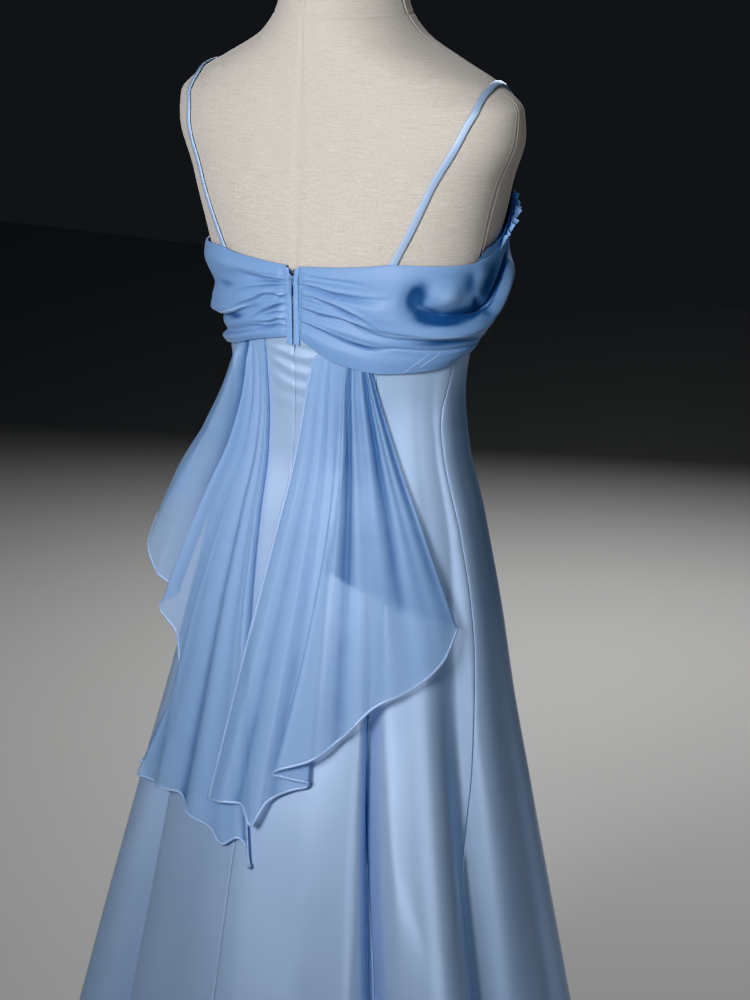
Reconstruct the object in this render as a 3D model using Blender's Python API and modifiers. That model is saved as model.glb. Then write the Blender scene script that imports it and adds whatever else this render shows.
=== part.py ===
"""Satin evening gown with a chiffon drape, standing on a limbless dress form.

The frame is the wearer's own: +Z is up from the floor, -Y is the front, +Y the back, +X the wearer's left.
Every cloth piece is laid out on one surface of the gown, read at an angle from the centre back
(degrees, positive towards the wearer's left) and a height above the floor, and stands off it by a lift.
"""
import functools
import math

import bmesh
import bpy
from mathutils import Matrix, Vector

# Driving sizes, in metres.
CLEARANCE = 0.0003
SATIN_WALL = 0.0015
CHIFFON_WALL = 0.0010
HEM_HEIGHT = 0.018
FORM_FOOT = 0.800
STRAP_WIDTH = 0.007
STRAP_WALL = 0.0012
ZIP_SLOT = 0.0020
ZIP_FOOT = 0.860
STRIP_WIDTH = 0.006
STRIP_FOOT = 1.178
BASE_RADIUS = 0.170
BASE_THICKNESS = 0.012
BOSS_RADIUS = 0.034
BOSS_TOP = 0.045
POLE_RADIUS = 0.014
COLLAR_RADIUS = 0.030
COLLAR_HEIGHT = 0.030
SLIDER_HEIGHT = 1.2425
SLIDER_WIDTH = 0.0052
SLIDER_LENGTH = 0.009
SLIDER_THICKNESS = 0.0018
TAB_LENGTH = 0.016
TAB_WIDTH = 0.0030
TAB_THICKNESS = 0.0010
RING_RADIUS = 0.0013
PIN_RADIUS = 0.0005

MILLI = 0.001
TINY = 1e-4


def curves(*rows):
    """Make a function that reads a table's columns at any value of its first column, without overshoot."""
    keys = [row[0] for row in rows]
    columns = list(zip(*rows))[1:]
    spans = [after - before for before, after in zip(keys, keys[1:])]

    def tangents(values):
        rises = [(after - before) / span for before, after, span in zip(values, values[1:], spans)]
        middle = [2 * p * q / (p + q) if p * q > 0 else 0.0 for p, q in zip(rises, rises[1:])]
        return [rises[0]] + middle + [rises[-1]]

    slopes = [tangents(values) for values in columns]

    def read(key):
        key = min(max(key, keys[0]), keys[-1])
        i = 0
        while i < len(spans) - 1 and key > keys[i + 1]:
            i += 1
        t = (key - keys[i]) / spans[i]
        near, far = (1 + 2 * t) * (1 - t) ** 2, t * t * (3 - 2 * t)
        lead, trail = t * (1 - t) ** 2 * spans[i], t * t * (t - 1) * spans[i]
        return [near * v[i] + far * v[i + 1] + lead * m[i] + trail * m[i + 1]
                for v, m in zip(columns, slopes)]

    return read


# The gown's rings from hem to underarm, and the form's shoulders and neck above them.
rings = curves(
    # height, half width, back depth, front depth, squareness, ease over the form
    (0.018, 0.335, 0.360, 0.255, 2.0, 0.060),
    (0.250, 0.292, 0.305, 0.205, 2.0, 0.060),
    (0.430, 0.254, 0.256, 0.170, 2.0, 0.050),
    (0.560, 0.228, 0.226, 0.156, 2.0, 0.040),
    (0.705, 0.200, 0.191, 0.143, 2.0, 0.030),
    (0.800, 0.184, 0.166, 0.130, 2.0, 0.020),
    (0.900, 0.170, 0.140, 0.121, 2.0, 0.008),
    (1.000, 0.150, 0.112, 0.108, 2.0, 0.003),
    (1.070, 0.132, 0.094, 0.098, 2.0, 0.0025),
    (1.120, 0.127, 0.090, 0.096, 2.0, 0.0025),
    (1.180, 0.135, 0.091, 0.102, 2.0, 0.0025),
    (1.230, 0.152, 0.092, 0.118, 2.1, 0.0025),
    (1.266, 0.160, 0.093, 0.119, 2.2, 0.0025),
    (1.335, 0.178, 0.090, 0.104, 2.5, 0.0025),
    (1.385, 0.197, 0.086, 0.086, 2.4, 0.001),
    (1.410, 0.199, 0.084, 0.076, 2.2, 0.001),
    (1.436, 0.172, 0.082, 0.066, 2.0, 0.001),
    (1.452, 0.140, 0.081, 0.060, 2.0, 0.001),
    (1.480, 0.088, 0.079, 0.053, 2.0, 0.001),
    (1.505, 0.068, 0.076, 0.050, 2.0, 0.001),
    (1.530, 0.063, 0.071, 0.051, 2.0, 0.001),
    (1.560, 0.062, 0.068, 0.054, 2.0, 0.001),
)

# How far a full flute of the skirt stands out, by height.
flute_depth = curves((0.018, 0.055), (0.430, 0.038), (0.705, 0.020), (0.880, 0.004), (0.960, 0.0), (1.6, 0.0))

FLUTES = (
    # angle either side of the centre back, half width, share of the full depth
    (0, 20, 0.08),
    (40, 7, -0.30),
    (57, 19, 1.00),
    (112, 20, 0.35),
    (158, 16, 0.45),
)
CUP_ANGLE, CUP_SPREAD = 148, 17
CUP_HEIGHT, CUP_RISE, CUP_DEPTH, CUP_ROOM = 1.262, 0.045, 0.016, 0.0025

top_edge = curves(
    # angle either side of the centre back, height of the bodice's top edge
    (0, 1.2560), (14, 1.2585), (28, 1.2625), (40, 1.2665), (56, 1.2660), (80, 1.2650),
    (95, 1.2720), (118, 1.3050), (140, 1.3340), (150, 1.3380), (163, 1.3180), (180, 1.2880),
)
seams = curves(
    # height, angles of the back princess, side and front princess seams
    (0.018, 43, 64, 142),
    (0.540, 42, 66, 141),
    (0.760, 39, 76, 140),
    (0.920, 38, 80, 139),
    (1.090, 40, 77, 138),
    (1.160, 40, 86, 140),
    (1.270, 40, 90, 143),
)


def bare_point(angle, height, ease=0.0, fluted=True):
    """A point of the gown's surface, or of the form inside it for the whole ease."""
    wide, back, front, square, room = rings(height)
    inward = ease * room
    side, along = math.sin(math.radians(angle)), math.cos(math.radians(angle))
    depth = back if along >= 0 else front
    x = (wide - inward) * math.copysign(abs(side) ** (2 / square), side)
    y = (depth - inward) * math.copysign(abs(along) ** (2 / square), along)
    turn = abs((angle + 180) % 360 - 180)
    rise = ((turn - CUP_ANGLE) / CUP_SPREAD) ** 2 + ((height - CUP_HEIGHT) / CUP_RISE) ** 2
    out = (CUP_DEPTH - CUP_ROOM * ease) * math.exp(-rise)
    for centre, half, share in FLUTES:
        if abs(turn - centre) < half and fluted and not ease:
            out += share * flute_depth(height)[0] * math.cos(math.pi / 2 * (turn - centre) / half) ** 2
    away = Vector((x / wide, y / depth, 0)).normalized()
    return Vector((x, y, height)) + away * out


def gown_point(angle, height, lift):
    """A point that stands off the gown's surface by the lift, square to the body under its flutes."""
    across = bare_point(angle + 0.4, height, 0, False) - bare_point(angle - 0.4, height, 0, False)
    upward = bare_point(angle, height + 0.002, 0, False) - bare_point(angle, height - 0.002, 0, False)
    return bare_point(angle, height) + upward.cross(across).normalized() * lift


def degrees_of(length, angle, height):
    """How many degrees round the gown a short length takes at a place."""
    return length / (bare_point(angle + 0.5, height) - bare_point(angle - 0.5, height)).length


for leftover in list(bpy.data.objects):
    bpy.data.objects.remove(leftover, do_unlink=True)
collection = bpy.data.collections.new("satin_evening_gown")
helpers = bpy.data.collections.new("cutters")


def material(name, colour, roughness, metallic=0.0):
    finish = bpy.data.materials.new(name)
    finish.use_nodes = True
    shader = finish.node_tree.nodes["Principled BSDF"]
    shader.inputs["Base Color"].default_value = (*colour, 1.0)
    shader.inputs["Roughness"].default_value = roughness
    shader.inputs["Metallic"].default_value = metallic
    return finish


def place(name, mesh, finish, into=None):
    thing = bpy.data.objects.new(name, mesh)
    (into or collection).objects.link(thing)
    if finish:
        mesh.materials.append(finish)
    return thing


def wall(name, columns, rows, surface, thickness, finish):
    """A sheet of cloth: a flat grid, doubled, laid on the surface with its outer face moved out."""
    bm = bmesh.new()
    bmesh.ops.create_grid(bm, x_segments=columns, y_segments=rows, size=0.5)
    bmesh.ops.triangulate(bm, faces=bm.faces[:])
    inner = list(bm.verts)
    doubled = bmesh.ops.extrude_face_region(bm, geom=bm.faces[:], use_keep_orig=True)["geom"]
    outer = {item for item in doubled if isinstance(item, bmesh.types.BMVert)}
    for vert in inner + list(outer):
        u, v = vert.co.x + 0.5, 0.5 - vert.co.y
        vert.co = surface(u, v)
        if vert in outer:
            before, after = max(u - TINY, 0), min(u + TINY, 1)
            above, below = max(v - TINY, 0), min(v + TINY, 1)
            across = surface(after, v) - surface(before, v)
            down = surface(u, below) - surface(u, above)
            vert.co += across.cross(down).normalized() * thickness
    bmesh.ops.recalc_face_normals(bm, faces=bm.faces[:])
    if bm.calc_volume(signed=True) < 0:
        bmesh.ops.reverse_faces(bm, faces=bm.faces[:])
    mesh = bpy.data.meshes.new(name)
    bm.to_mesh(mesh)
    bm.free()
    mesh.shade_smooth()
    return place(name, mesh, finish)


def turned(name, profile, finish):
    """A round piece from its profile, listed from the axis at the top down its outer side to the axis."""
    mesh = bpy.data.meshes.new(name)
    corners = [(radius, 0.0, height) for radius, height in profile]
    mesh.from_pydata(corners, [(i, i + 1) for i in range(len(corners) - 1)], [])
    thing = place(name, mesh, finish)
    screw = thing.modifiers.new("turn", "SCREW")
    screw.steps = screw.render_steps = 24
    screw.use_merge_vertices = True
    screw.merge_threshold = 0.00005
    return thing


def zip_opening(height):
    """Half the width left for the zip at the centre back, closing below the zip's foot."""
    closed = min(max((ZIP_FOOT - height) / 0.03, 0.0), 1.0)
    return ZIP_SLOT / 2 + (CLEARANCE / 2 - ZIP_SLOT / 2) * closed


satin = material("ice_blue_satin", (0.42, 0.56, 0.78), 0.34)
chiffon = material("cornflower_chiffon", (0.20, 0.36, 0.68), 0.62)
linen = material("cream_linen", (0.60, 0.55, 0.47), 0.85)
steel = material("grey_painted_steel", (0.10, 0.10, 0.11), 0.45)
chrome = material("chromed_tube", (0.60, 0.60, 0.62), 0.18, 1.0)
zip_tape = material("blue_zip_tape", (0.05, 0.09, 0.20), 0.70)
zip_enamel = material("blue_enamelled_metal", (0.22, 0.38, 0.50), 0.35, 0.3)

# Bodice and skirt: seven princess panels, each cut in one from the top edge to the hem.
PANELS = (
    # name, first seam, last seam, side, columns
    ("satin_back_left", "centre", "back", 1, 5),
    ("satin_back_right", "centre", "back", -1, 5),
    ("satin_side_back_left", "back", "side", 1, 8),
    ("satin_side_back_right", "back", "side", -1, 8),
    ("satin_side_front_left", "side", "front", 1, 8),
    ("satin_side_front_right", "side", "front", -1, 8),
)
PANEL_ROWS = 24
ROW_CROWDING = 1.45


def seam_angle(seam, height):
    """The angle of a seam at a height."""
    back, side, front = seams(height)
    return {"centre": 0.0, "back": back, "side": side, "front": front}[seam]


@functools.lru_cache(maxsize=None)
def angle_at_top(first, last, u):
    """Where a lengthwise thread of a panel meets the top edge."""
    height = 1.27
    for _ in range(4):
        angle = seam_angle(first, height) * (1 - u) + seam_angle(last, height) * u
        height = top_edge(angle)[0]
    return angle


def panel_surface(first, last, hand):
    """One panel between two seams, each edge half a clearance short of its seam line."""
    def surface(u, v):
        top = top_edge(angle_at_top(first, last, u))[0]
        height = top - (top - HEM_HEIGHT) * v ** ROW_CROWDING
        low, high = seam_angle(first, height), seam_angle(last, height)
        gap = zip_opening(height) if first == "centre" else CLEARANCE / 2
        low += degrees_of(gap, low, height)
        high -= degrees_of(CLEARANCE / 2, high, height)
        return gown_point(hand * (low + (high - low) * u), height, 0.0)
    return surface


def front_surface(u, v):
    """The centre front panel, between the two front princess seams."""
    share = 2 * abs(u - 0.5)
    top = top_edge(180 + (angle_at_top("front", "front", 0.5) - 180) * share)[0]
    height = top - (top - HEM_HEIGHT) * v ** ROW_CROWDING
    seam = seam_angle("front", height)
    seam += degrees_of(CLEARANCE / 2, seam, height)
    return gown_point(seam + (360 - 2 * seam) * u, height, 0.0)


for name, first, last, hand, columns in PANELS:
    wall(name, columns, PANEL_ROWS, panel_surface(first, last, hand), SATIN_WALL * hand, satin)
wall("satin_front", 10, PANEL_ROWS, front_surface, SATIN_WALL, satin)


# Dress form: a linen-covered torso and neck without arms, with flat plates where the arms would be.
FORM_HEIGHTS = (
    1.560, 1.545, 1.525, 1.505, 1.492, 1.480, 1.467, 1.455, 1.443, 1.430, 1.415, 1.400, 1.380, 1.350,
    1.315, 1.280, 1.250, 1.215, 1.180, 1.145, 1.110, 1.070, 1.020, 0.960, 0.890, 0.830, 0.800,
)
FORM_SIDES = 28


def form_torso():
    """A sphere's rings, drawn out to the form's rings; its two poles close the neck and the foot flat."""
    bm = bmesh.new()
    layers = len(FORM_HEIGHTS)
    bmesh.ops.create_uvsphere(bm, u_segments=FORM_SIDES, v_segments=layers + 1, radius=1.0)
    for vert in bm.verts:
        layer = round((layers + 1) * math.acos(max(-1.0, min(1.0, vert.co.z))) / math.pi)
        if layer in (0, layers + 1):
            vert.co = Vector((0, 0, FORM_HEIGHTS[0] if layer == 0 else FORM_HEIGHTS[-1]))
            continue
        angle = math.degrees(math.atan2(vert.co.x, vert.co.y))
        vert.co = bare_point(angle, FORM_HEIGHTS[layer - 1], ease=1.0)
    bmesh.ops.recalc_face_normals(bm, faces=bm.faces[:])
    mesh = bpy.data.meshes.new("form_torso")
    bm.to_mesh(mesh)
    bm.free()
    mesh.shade_smooth()
    mesh.set_sharp_from_angle(angle=math.radians(50))
    return place("form_torso", mesh, linen)


form_torso()

# Stand: a round cast base with a boss, a tube up to the form, and a collar under the form's foot.
turned("stand_base", (
    (0.0, BOSS_TOP), (BOSS_RADIUS - 0.004, BOSS_TOP), (BOSS_RADIUS, BOSS_TOP - 0.004),
    (BOSS_RADIUS + 0.006, BASE_THICKNESS + 0.006), (BOSS_RADIUS + 0.020, BASE_THICKNESS),
    (BASE_RADIUS - 0.004, BASE_THICKNESS - 0.002), (BASE_RADIUS, BASE_THICKNESS - 0.006),
    (BASE_RADIUS, 0.0), (0.0, 0.0),
), steel)
collar_foot = FORM_FOOT - CLEARANCE - COLLAR_HEIGHT
turned("stand_collar", (
    (0.0, FORM_FOOT - CLEARANCE), (COLLAR_RADIUS, FORM_FOOT - CLEARANCE),
    (COLLAR_RADIUS, FORM_FOOT - CLEARANCE - 0.006), (POLE_RADIUS + 0.006, FORM_FOOT - CLEARANCE - 0.010),
    (POLE_RADIUS + 0.006, collar_foot), (0.0, collar_foot),
), steel)
turned("stand_pole", (
    (0.0, collar_foot - CLEARANCE), (POLE_RADIUS, collar_foot - CLEARANCE),
    (POLE_RADIUS, BOSS_TOP + CLEARANCE), (0.0, BOSS_TOP + CLEARANCE),
), chrome)

# Straps: two narrow satin rouleaux over the shoulders, from the back top edge to the cups.
strap_route = curves(
    # share of the way, angle, height, lift off the form in millimetres
    (0.00, 38.5, 1.2673, 1.8),
    (0.10, 43.5, 1.2960, 1.5),
    (0.22, 48.0, 1.3400, 1.3),
    (0.32, 53.5, 1.3760, 1.4),
    (0.40, 61.0, 1.4020, 2.0),
    (0.47, 75.0, 1.4260, 2.8),
    (0.52, 91.0, 1.4340, 3.0),
    (0.58, 110.0, 1.4240, 2.8),
    (0.67, 126.0, 1.3980, 2.0),
    (0.80, 139.0, 1.3680, 1.6),
    (1.00, 149.0, 1.3395, 1.8),
)
STRAP_END = 0.06


def form_point(angle, height, lift):
    """A point that stands off the form by the lift, square to it."""
    across = bare_point(angle + 0.4, height, 1.0) - bare_point(angle - 0.4, height, 1.0)
    upward = bare_point(angle, height + 0.002, 1.0) - bare_point(angle, height - 0.002, 1.0)
    return bare_point(angle, height, 1.0) + upward.cross(across).normalized() * lift


def strap_surface(hand):
    """Across runs over the strap's width; its two ends are cut level, along the top edge they are sewn to."""
    def middle(share):
        angle, height, lift = strap_route(share)
        return form_point(hand * angle, height, lift * MILLI)

    def surface(u, v):
        angle, height, _ = strap_route(v)
        onward = middle(min(v + 0.01, 1)) - middle(max(v - 0.01, 0))
        out = form_point(hand * angle, height, 0.002) - form_point(hand * angle, height, 0.0)
        level = form_point(hand * angle + 1, height, 0.0) - form_point(hand * angle - 1, height, 0.0)
        square = onward.cross(out).normalized()
        level = level.normalized() * math.copysign(1.0, level.dot(square))
        blend = max(0.0, 1 - min(v, 1 - v) / STRAP_END)
        return middle(v) + square.lerp(level, blend) * STRAP_WIDTH * (u - 0.5)

    return surface


for name, hand in (("strap_left", 1), ("strap_right", -1)):
    wall(name, 1, 32, strap_surface(hand), -STRAP_WALL, satin)

# Zip: its coils fill the slot at the centre back; a slider and its pull tab sit at the top.
ZIP_TOP = 1.2535


def coil_surface(u, v):
    height = ZIP_TOP - (ZIP_TOP - ZIP_FOOT - 0.010) * v
    half = degrees_of(ZIP_SLOT / 2 - CLEARANCE, 0, height)
    return gown_point(half * (2 * u - 1), height, 0.0)


wall("zip_coils", 1, 16, coil_surface, SATIN_WALL, zip_tape)

# Shirred strips: the chiffon is gathered into a narrow strip down each side of the zip.
def strip_surface(hand):
    def surface(u, v):
        height = top_edge(0)[0] - 0.002 - (top_edge(0)[0] - 0.002 - STRIP_FOOT) * v
        near = ZIP_SLOT / 2 + STRIP_WIDTH * u
        return gown_point(hand * degrees_of(near, 0, height), height, SATIN_WALL + CLEARANCE)
    return surface


for name, hand in (("chiffon_strip_left", 1), ("chiffon_strip_right", -1)):
    wall(name, 2, 8, strip_surface(hand), CHIFFON_WALL * hand, chiffon)

# Drape: chiffon gathered at the zip, folded round under each arm and up over the cups.
# Each row follows one fold from the zip round to the centre front: its heights in millimetres at the
# stations, then its lifts there. The folds are listed from under the top edge down to the lower edge.
DRAPE_TOP, DRAPE_LIFT = 0.002, 0.0023
STATIONS = (3.6, 20, 42, 66, 92, 118, 148, 179.8)
DRAPE_RIGHT = (
    ("wall", (1246, 1248, 1249, 1234, 1230, 1274, 1318, 1276), (4.0, 4.4, 5.0, 7.0, 5.5, 4.5, 4.5, 5.2)),
    ("hollow", (1238, 1232, 1230, 1213, 1210, 1248, 1298, 1266), (2.6, 3.6, 4.6, 5.0, 8.5, 8.5, 4.0, 3.0)),
    ("rim_in", (1232, 1226, 1220, 1209, 1215, 1250, 1283, 1256), (4.4, 7.0, 9.0, 9.5, 14.0, 13.0, 7.0, 5.7)),
    ("rim", (1225, 1219, 1212, 1205, 1217, 1248, 1268, 1246), (2.8, 6.5, 12.0, 15.5, 19.0, 17.0, 8.0, 3.0)),
    ("belly", (1219, 1213, 1204, 1199, 1205, 1233, 1252, 1236), (4.8, 8.0, 12.5, 17.5, 20.5, 18.5, 9.0, 6.2)),
    ("groove_b", (1213, 1207, 1196, 1192, 1191, 1210, 1237, 1226), (3, 5, 7.5, 9.5, 12.5, 14.5, 6, 3.6)),
    ("crest_d", (1206, 1199, 1188, 1185, 1185, 1197, 1221, 1215), (5, 8, 11, 12, 13.5, 13, 9, 6.7)),
    ("groove_d", (1200, 1190, 1181, 1177, 1179, 1188, 1207, 1204), (3.2, 5.0, 6.8, 7.5, 8.5, 8.5, 5.6, 4.4)),
    ("roll", (1192, 1179, 1169, 1168, 1174, 1181, 1193, 1194), (5.0, 8.0, 9.5, 9.5, 9.0, 7.5, 7.5, 7.0)),
    ("lower", (1184, 1165, 1156, 1158, 1168, 1173, 1180, 1184), (3.6, 5.4, 7.2, 6.6, 6.0, 5.0, 5.0, 5.0)),
)
DRAPE_LEFT = (
    ("lobe_a", (1248, 1250, 1249, 1248, 1246, 1280, 1318, 1276), (4.0, 5.5, 7.5, 9.0, 9.5, 7.5, 4.5, 5.2)),
    ("hollow_a", (1241, 1240, 1229, 1226, 1224, 1262, 1298, 1266), (2.6, 3.6, 4.8, 3.8, 3.4, 3.8, 4.0, 3.0)),
    ("bank", (1235, 1230, 1218, 1215, 1213, 1246, 1283, 1256), (4.2, 6.5, 9.5, 11.0, 12.0, 11.0, 7.0, 5.7)),
    ("lobe_b", (1230, 1221, 1207, 1204, 1202, 1231, 1268, 1246), (3.8, 8, 13, 16, 18, 16, 8, 3)),
    ("tuck_b", (1225, 1214, 1200, 1197, 1195, 1217, 1252, 1236), (2.8, 6.5, 10.5, 11.5, 12, 13, 9, 6.2)),
    ("hollow_b", (1219, 1208, 1196, 1193, 1191, 1207, 1237, 1226), (3.6, 4.4, 4.8, 4.8, 4.8, 5.6, 5.0, 3.6)),
    ("lobe_c", (1208, 1198, 1190, 1187, 1185, 1196, 1221, 1215), (5, 8, 10, 10.2, 10, 10, 9, 6.7)),
    ("hollow_c", (1198, 1190, 1184, 1181, 1179, 1187, 1207, 1204), (3.0, 4.4, 5.4, 5.0, 4.6, 5.0, 5.0, 4.4)),
    ("roll", (1191, 1184, 1177, 1174, 1172, 1179, 1193, 1194), (4.6, 7.5, 10.0, 11.0, 11.5, 8.5, 7.5, 7.0)),
    ("lower", (1185, 1178, 1170, 1167, 1165, 1171, 1180, 1184), (3.4, 4.8, 5.6, 5.4, 5.2, 5.0, 5.0, 5.0)),
)


def drape_surface(folds, hand):
    """Across runs from the zip to the centre front, down runs from the top edge over the folds in order."""
    rows = [curves(*zip(STATIONS, heights, lifts)) for _, heights, lifts in folds]

    @functools.lru_cache(maxsize=None)
    def section(angle):
        top = (0, (top_edge(angle)[0] - DRAPE_TOP) / MILLI, DRAPE_LIFT / MILLI)
        return curves(top, *((i + 1, *row(angle)) for i, row in enumerate(rows)))

    def surface(u, v):
        angle = STATIONS[0] + (STATIONS[-1] - STATIONS[0]) * u
        height, lift = section(angle)(v * len(rows))
        return gown_point(hand * angle, height * MILLI, lift * MILLI)

    return surface


for name, folds, hand in (("chiffon_drape_left", DRAPE_LEFT, 1), ("chiffon_drape_right", DRAPE_RIGHT, -1)):
    wall(name, 22, 20, drape_surface(folds, hand), CHIFFON_WALL * hand, chiffon)

# Tails: two flared lengths of chiffon caught under the drape, each falling in flutes to a slanting hem.
# Each row is one place along the hem: how far along, where it hangs from the top, and where it ends.
TAIL_TOP, TAIL_FREE = 1.180, 1.158
tail_left_hem = curves(
    # share, angle and lift at the top, then angle, height and lift at the hem, and how late it spreads
    (0.00, 36.0, 2.4, 75, 0.985, 24, 0.85),
    (0.05, 35.0, 2.4, 70, 0.965, 44, 0.85),
    (0.10, 34.0, 2.4, 63.5, 0.932, 52, 0.85),
    (0.15, 33.0, 2.4, 58.5, 0.905, 34, 0.90),
    (0.19, 32.4, 2.4, 56.0, 0.892, 17, 0.95),
    (0.26, 31.2, 2.4, 53.0, 0.866, 27, 1.00),
    (0.32, 30.2, 2.4, 48.0, 0.842, 9, 1.10),
    (0.38, 29.2, 2.4, 42, 0.790, 5, 1.20),
    (0.44, 28.2, 2.4, 43, 0.738, 9, 1.30),
    (0.50, 27.2, 2.4, 48, 0.714, 16, 1.30),
    (0.56, 26.2, 2.4, 46, 0.702, 21, 1.30),
    (0.63, 24.8, 2.4, 36, 0.703, 16, 1.30),
    (0.71, 23.0, 2.4, 25, 0.710, 8, 1.30),
    (0.78, 21.5, 2.4, 18, 0.697, 11, 1.30),
    (0.86, 19.5, 2.4, 9, 0.692, 6, 1.30),
    (0.91, 18.5, 2.4, 3, 0.680, 8, 1.35),
    (0.95, 17.5, 2.4, -2, 0.690, 6, 1.35),
    (1.00, 16.0, 2.4, -7, 0.664, 6, 1.35),
)
tail_right_hem = curves(
    # the same columns; the far end turns under and comes back behind, nearer the satin
    (0.00, -12.6, 2.4, 9.5, 0.720, 13, 0.50),
    (0.07, -14.0, 2.4, 4, 0.722, 18, 0.55),
    (0.13, -15.5, 2.4, -2, 0.724, 13, 0.60),
    (0.18, -16.5, 2.4, -7, 0.706, 16, 0.70),
    (0.23, -17.5, 2.4, -11, 0.733, 12, 0.80),
    (0.30, -19.0, 2.4, -17, 0.745, 9, 1.00),
    (0.35, -20.0, 2.4, -21.5, 0.750, 10, 1.30),
    (0.39, -20.8, 2.4, -22.0, 0.754, 14, 1.80),
    (0.44, -21.8, 2.4, -16.5, 0.757, 19, 1.80),
    (0.48, -22.8, 2.4, -12.5, 0.760, 24, 1.80),
    (0.52, -23.8, 2.4, -14.5, 0.765, 29, 1.80),
    (0.57, -25.2, 2.5, -23, 0.777, 24, 1.40),
    (0.63, -27.4, 2.8, -31, 0.800, 18, 1.00),
    (0.70, -29.6, 3.8, -41, 0.832, 22, 0.85),
    (0.77, -32.2, 4.2, -52, 0.850, 16, 0.75),
    (0.83, -34.6, 4.3, -62, 0.872, 16, 0.72),
    (0.87, -36.2, 4.2, -68.5, 0.897, 14, 0.70),
    (0.885, -36.5, 3.8, -69.8, 0.902, 10, 0.70),
    (0.90, -36.2, 3.4, -68.0, 0.904, 6, 0.70),
    (0.94, -34.0, 3.2, -52, 0.918, 4, 0.75),
    (1.00, -30.0, 3.2, -20, 0.960, 3.4, 0.80),
)
TAIL_CROWDING, LIFT_POWER = 1.3, 0.75


def tail_surface(hem):
    """Each thread falls straight to the drape's lower edge, then spreads and lifts on its way to the hem."""
    def surface(u, v):
        top_angle, top_lift, hem_angle, hem_height, hem_lift, lateness = hem(u)
        height = TAIL_TOP + (hem_height - TAIL_TOP) * v ** TAIL_CROWDING
        free = max(0.0, (TAIL_FREE - height) / (TAIL_FREE - hem_height))
        angle = top_angle + (hem_angle - top_angle) * free ** lateness
        return gown_point(angle, height, (top_lift + (hem_lift - top_lift) * free ** LIFT_POWER) * MILLI)
    return surface


wall("chiffon_tail_left", 36, 11, tail_surface(tail_left_hem), -CHIFFON_WALL, chiffon)
wall("chiffon_tail_right", 46, 11, tail_surface(tail_right_hem), -CHIFFON_WALL, chiffon)

# Ruffles: a gathered frill of chiffon standing up from the top edge beside each cup.
RUFFLE_FROM, RUFFLE_TO, RUFFLE_WAVES = 100, 134, 8
RUFFLE_FOOT, RUFFLE_HEIGHT, RUFFLE_SWING, RUFFLE_LIFT = -0.0035, 0.012, 0.0024, 0.0044


def ruffle_surface(hand):
    """Across runs along the top edge, down from the free waving edge to the still sewn one."""
    def surface(u, v):
        angle = RUFFLE_FROM + (RUFFLE_TO - RUFFLE_FROM) * u
        wave = (1 + math.sin(2 * math.pi * RUFFLE_WAVES * u)) * (1 - v)
        height = top_edge(angle)[0] + RUFFLE_FOOT + RUFFLE_HEIGHT * (1 - v)
        return gown_point(hand * angle, height, RUFFLE_LIFT + RUFFLE_SWING * wave)
    return surface


for name, hand in (("chiffon_ruffle_left", 1), ("chiffon_ruffle_right", -1)):
    wall(name, 32, 2, ruffle_surface(hand), CHIFFON_WALL * hand, chiffon)


def block(name, size, centre, finish, into=None):
    """A small square-edged block."""
    bm = bmesh.new()
    bmesh.ops.create_cube(bm, size=1.0)
    bmesh.ops.scale(bm, vec=Vector(size), verts=bm.verts[:])
    mesh = bpy.data.meshes.new(name)
    bm.to_mesh(mesh)
    bm.free()
    thing = place(name, mesh, finish, into)
    thing.location = centre
    return thing


def rod(name, radius, length, centre, finish, into=None):
    """A round rod lying along X."""
    bm = bmesh.new()
    bmesh.ops.create_cone(bm, cap_ends=True, segments=16, radius1=radius, radius2=radius, depth=length)
    bmesh.ops.rotate(bm, matrix=Matrix.Rotation(math.pi / 2, 3, "Y"), verts=bm.verts[:])
    mesh = bpy.data.meshes.new(name)
    bm.to_mesh(mesh)
    bm.free()
    thing = place(name, mesh, finish, into)
    thing.location = centre
    return thing


def carve(thing, other, operation):
    """Join another shape to a piece, or cut it away."""
    other.hide_render = True
    other.display_type = "WIRE"
    step = thing.modifiers.new(other.name, "BOOLEAN")
    step.solver = "EXACT"
    step.operation = operation
    step.object = other


# Zip slider: a small metal block over the coils near the top, with two lugs that hold a pin.
back_plane = bare_point(0, SLIDER_HEIGHT).y
slider_back = back_plane + 0.0033
slider_face = slider_back + SLIDER_THICKNESS
pin_centre = Vector((0, slider_face + CLEARANCE + RING_RADIUS, SLIDER_HEIGHT + 0.002))
lug_reach = pin_centre.y + PIN_RADIUS + 0.0004
lug_width = 0.0007
lug_middle = TAB_WIDTH / 2 + CLEARANCE + lug_width / 2
slider = block("zip_slider", (SLIDER_WIDTH, SLIDER_THICKNESS, SLIDER_LENGTH),
               (0, (slider_back + slider_face) / 2, SLIDER_HEIGHT), zip_enamel)
for side, hand in (("left", 1), ("right", -1)):
    lug_depth = lug_reach - slider_face + 0.0004
    lug = block("slider_lug_" + side, (lug_width, lug_depth, 0.0022),
                (hand * lug_middle, lug_reach - lug_depth / 2, pin_centre.z), None, helpers)
    carve(slider, lug, "UNION")
carve(slider, rod("slider_pin", PIN_RADIUS, 2 * lug_middle, pin_centre, None, helpers), "UNION")

# Pull tab: a flat blade with a ring round the slider's pin; it swings about that pin.
tab = rod("zip_pull_tab", RING_RADIUS, TAB_WIDTH, pin_centre, zip_enamel)
blade_length = TAB_LENGTH - RING_RADIUS
blade = block("tab_blade", (TAB_WIDTH, TAB_THICKNESS, blade_length),
              pin_centre - Vector((0, 0, 0.0009 + blade_length / 2)), None, helpers)
carve(tab, blade, "UNION")
carve(tab, rod("tab_bore", PIN_RADIUS + CLEARANCE, 2 * TAB_WIDTH, pin_centre, None, helpers), "DIFFERENCE")

for group in (collection, helpers):
    bpy.context.scene.collection.children.link(group)
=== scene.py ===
from functools import cache
from math import atan2, copysign, cos, degrees, exp, pi, radians, sin, sqrt

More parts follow.
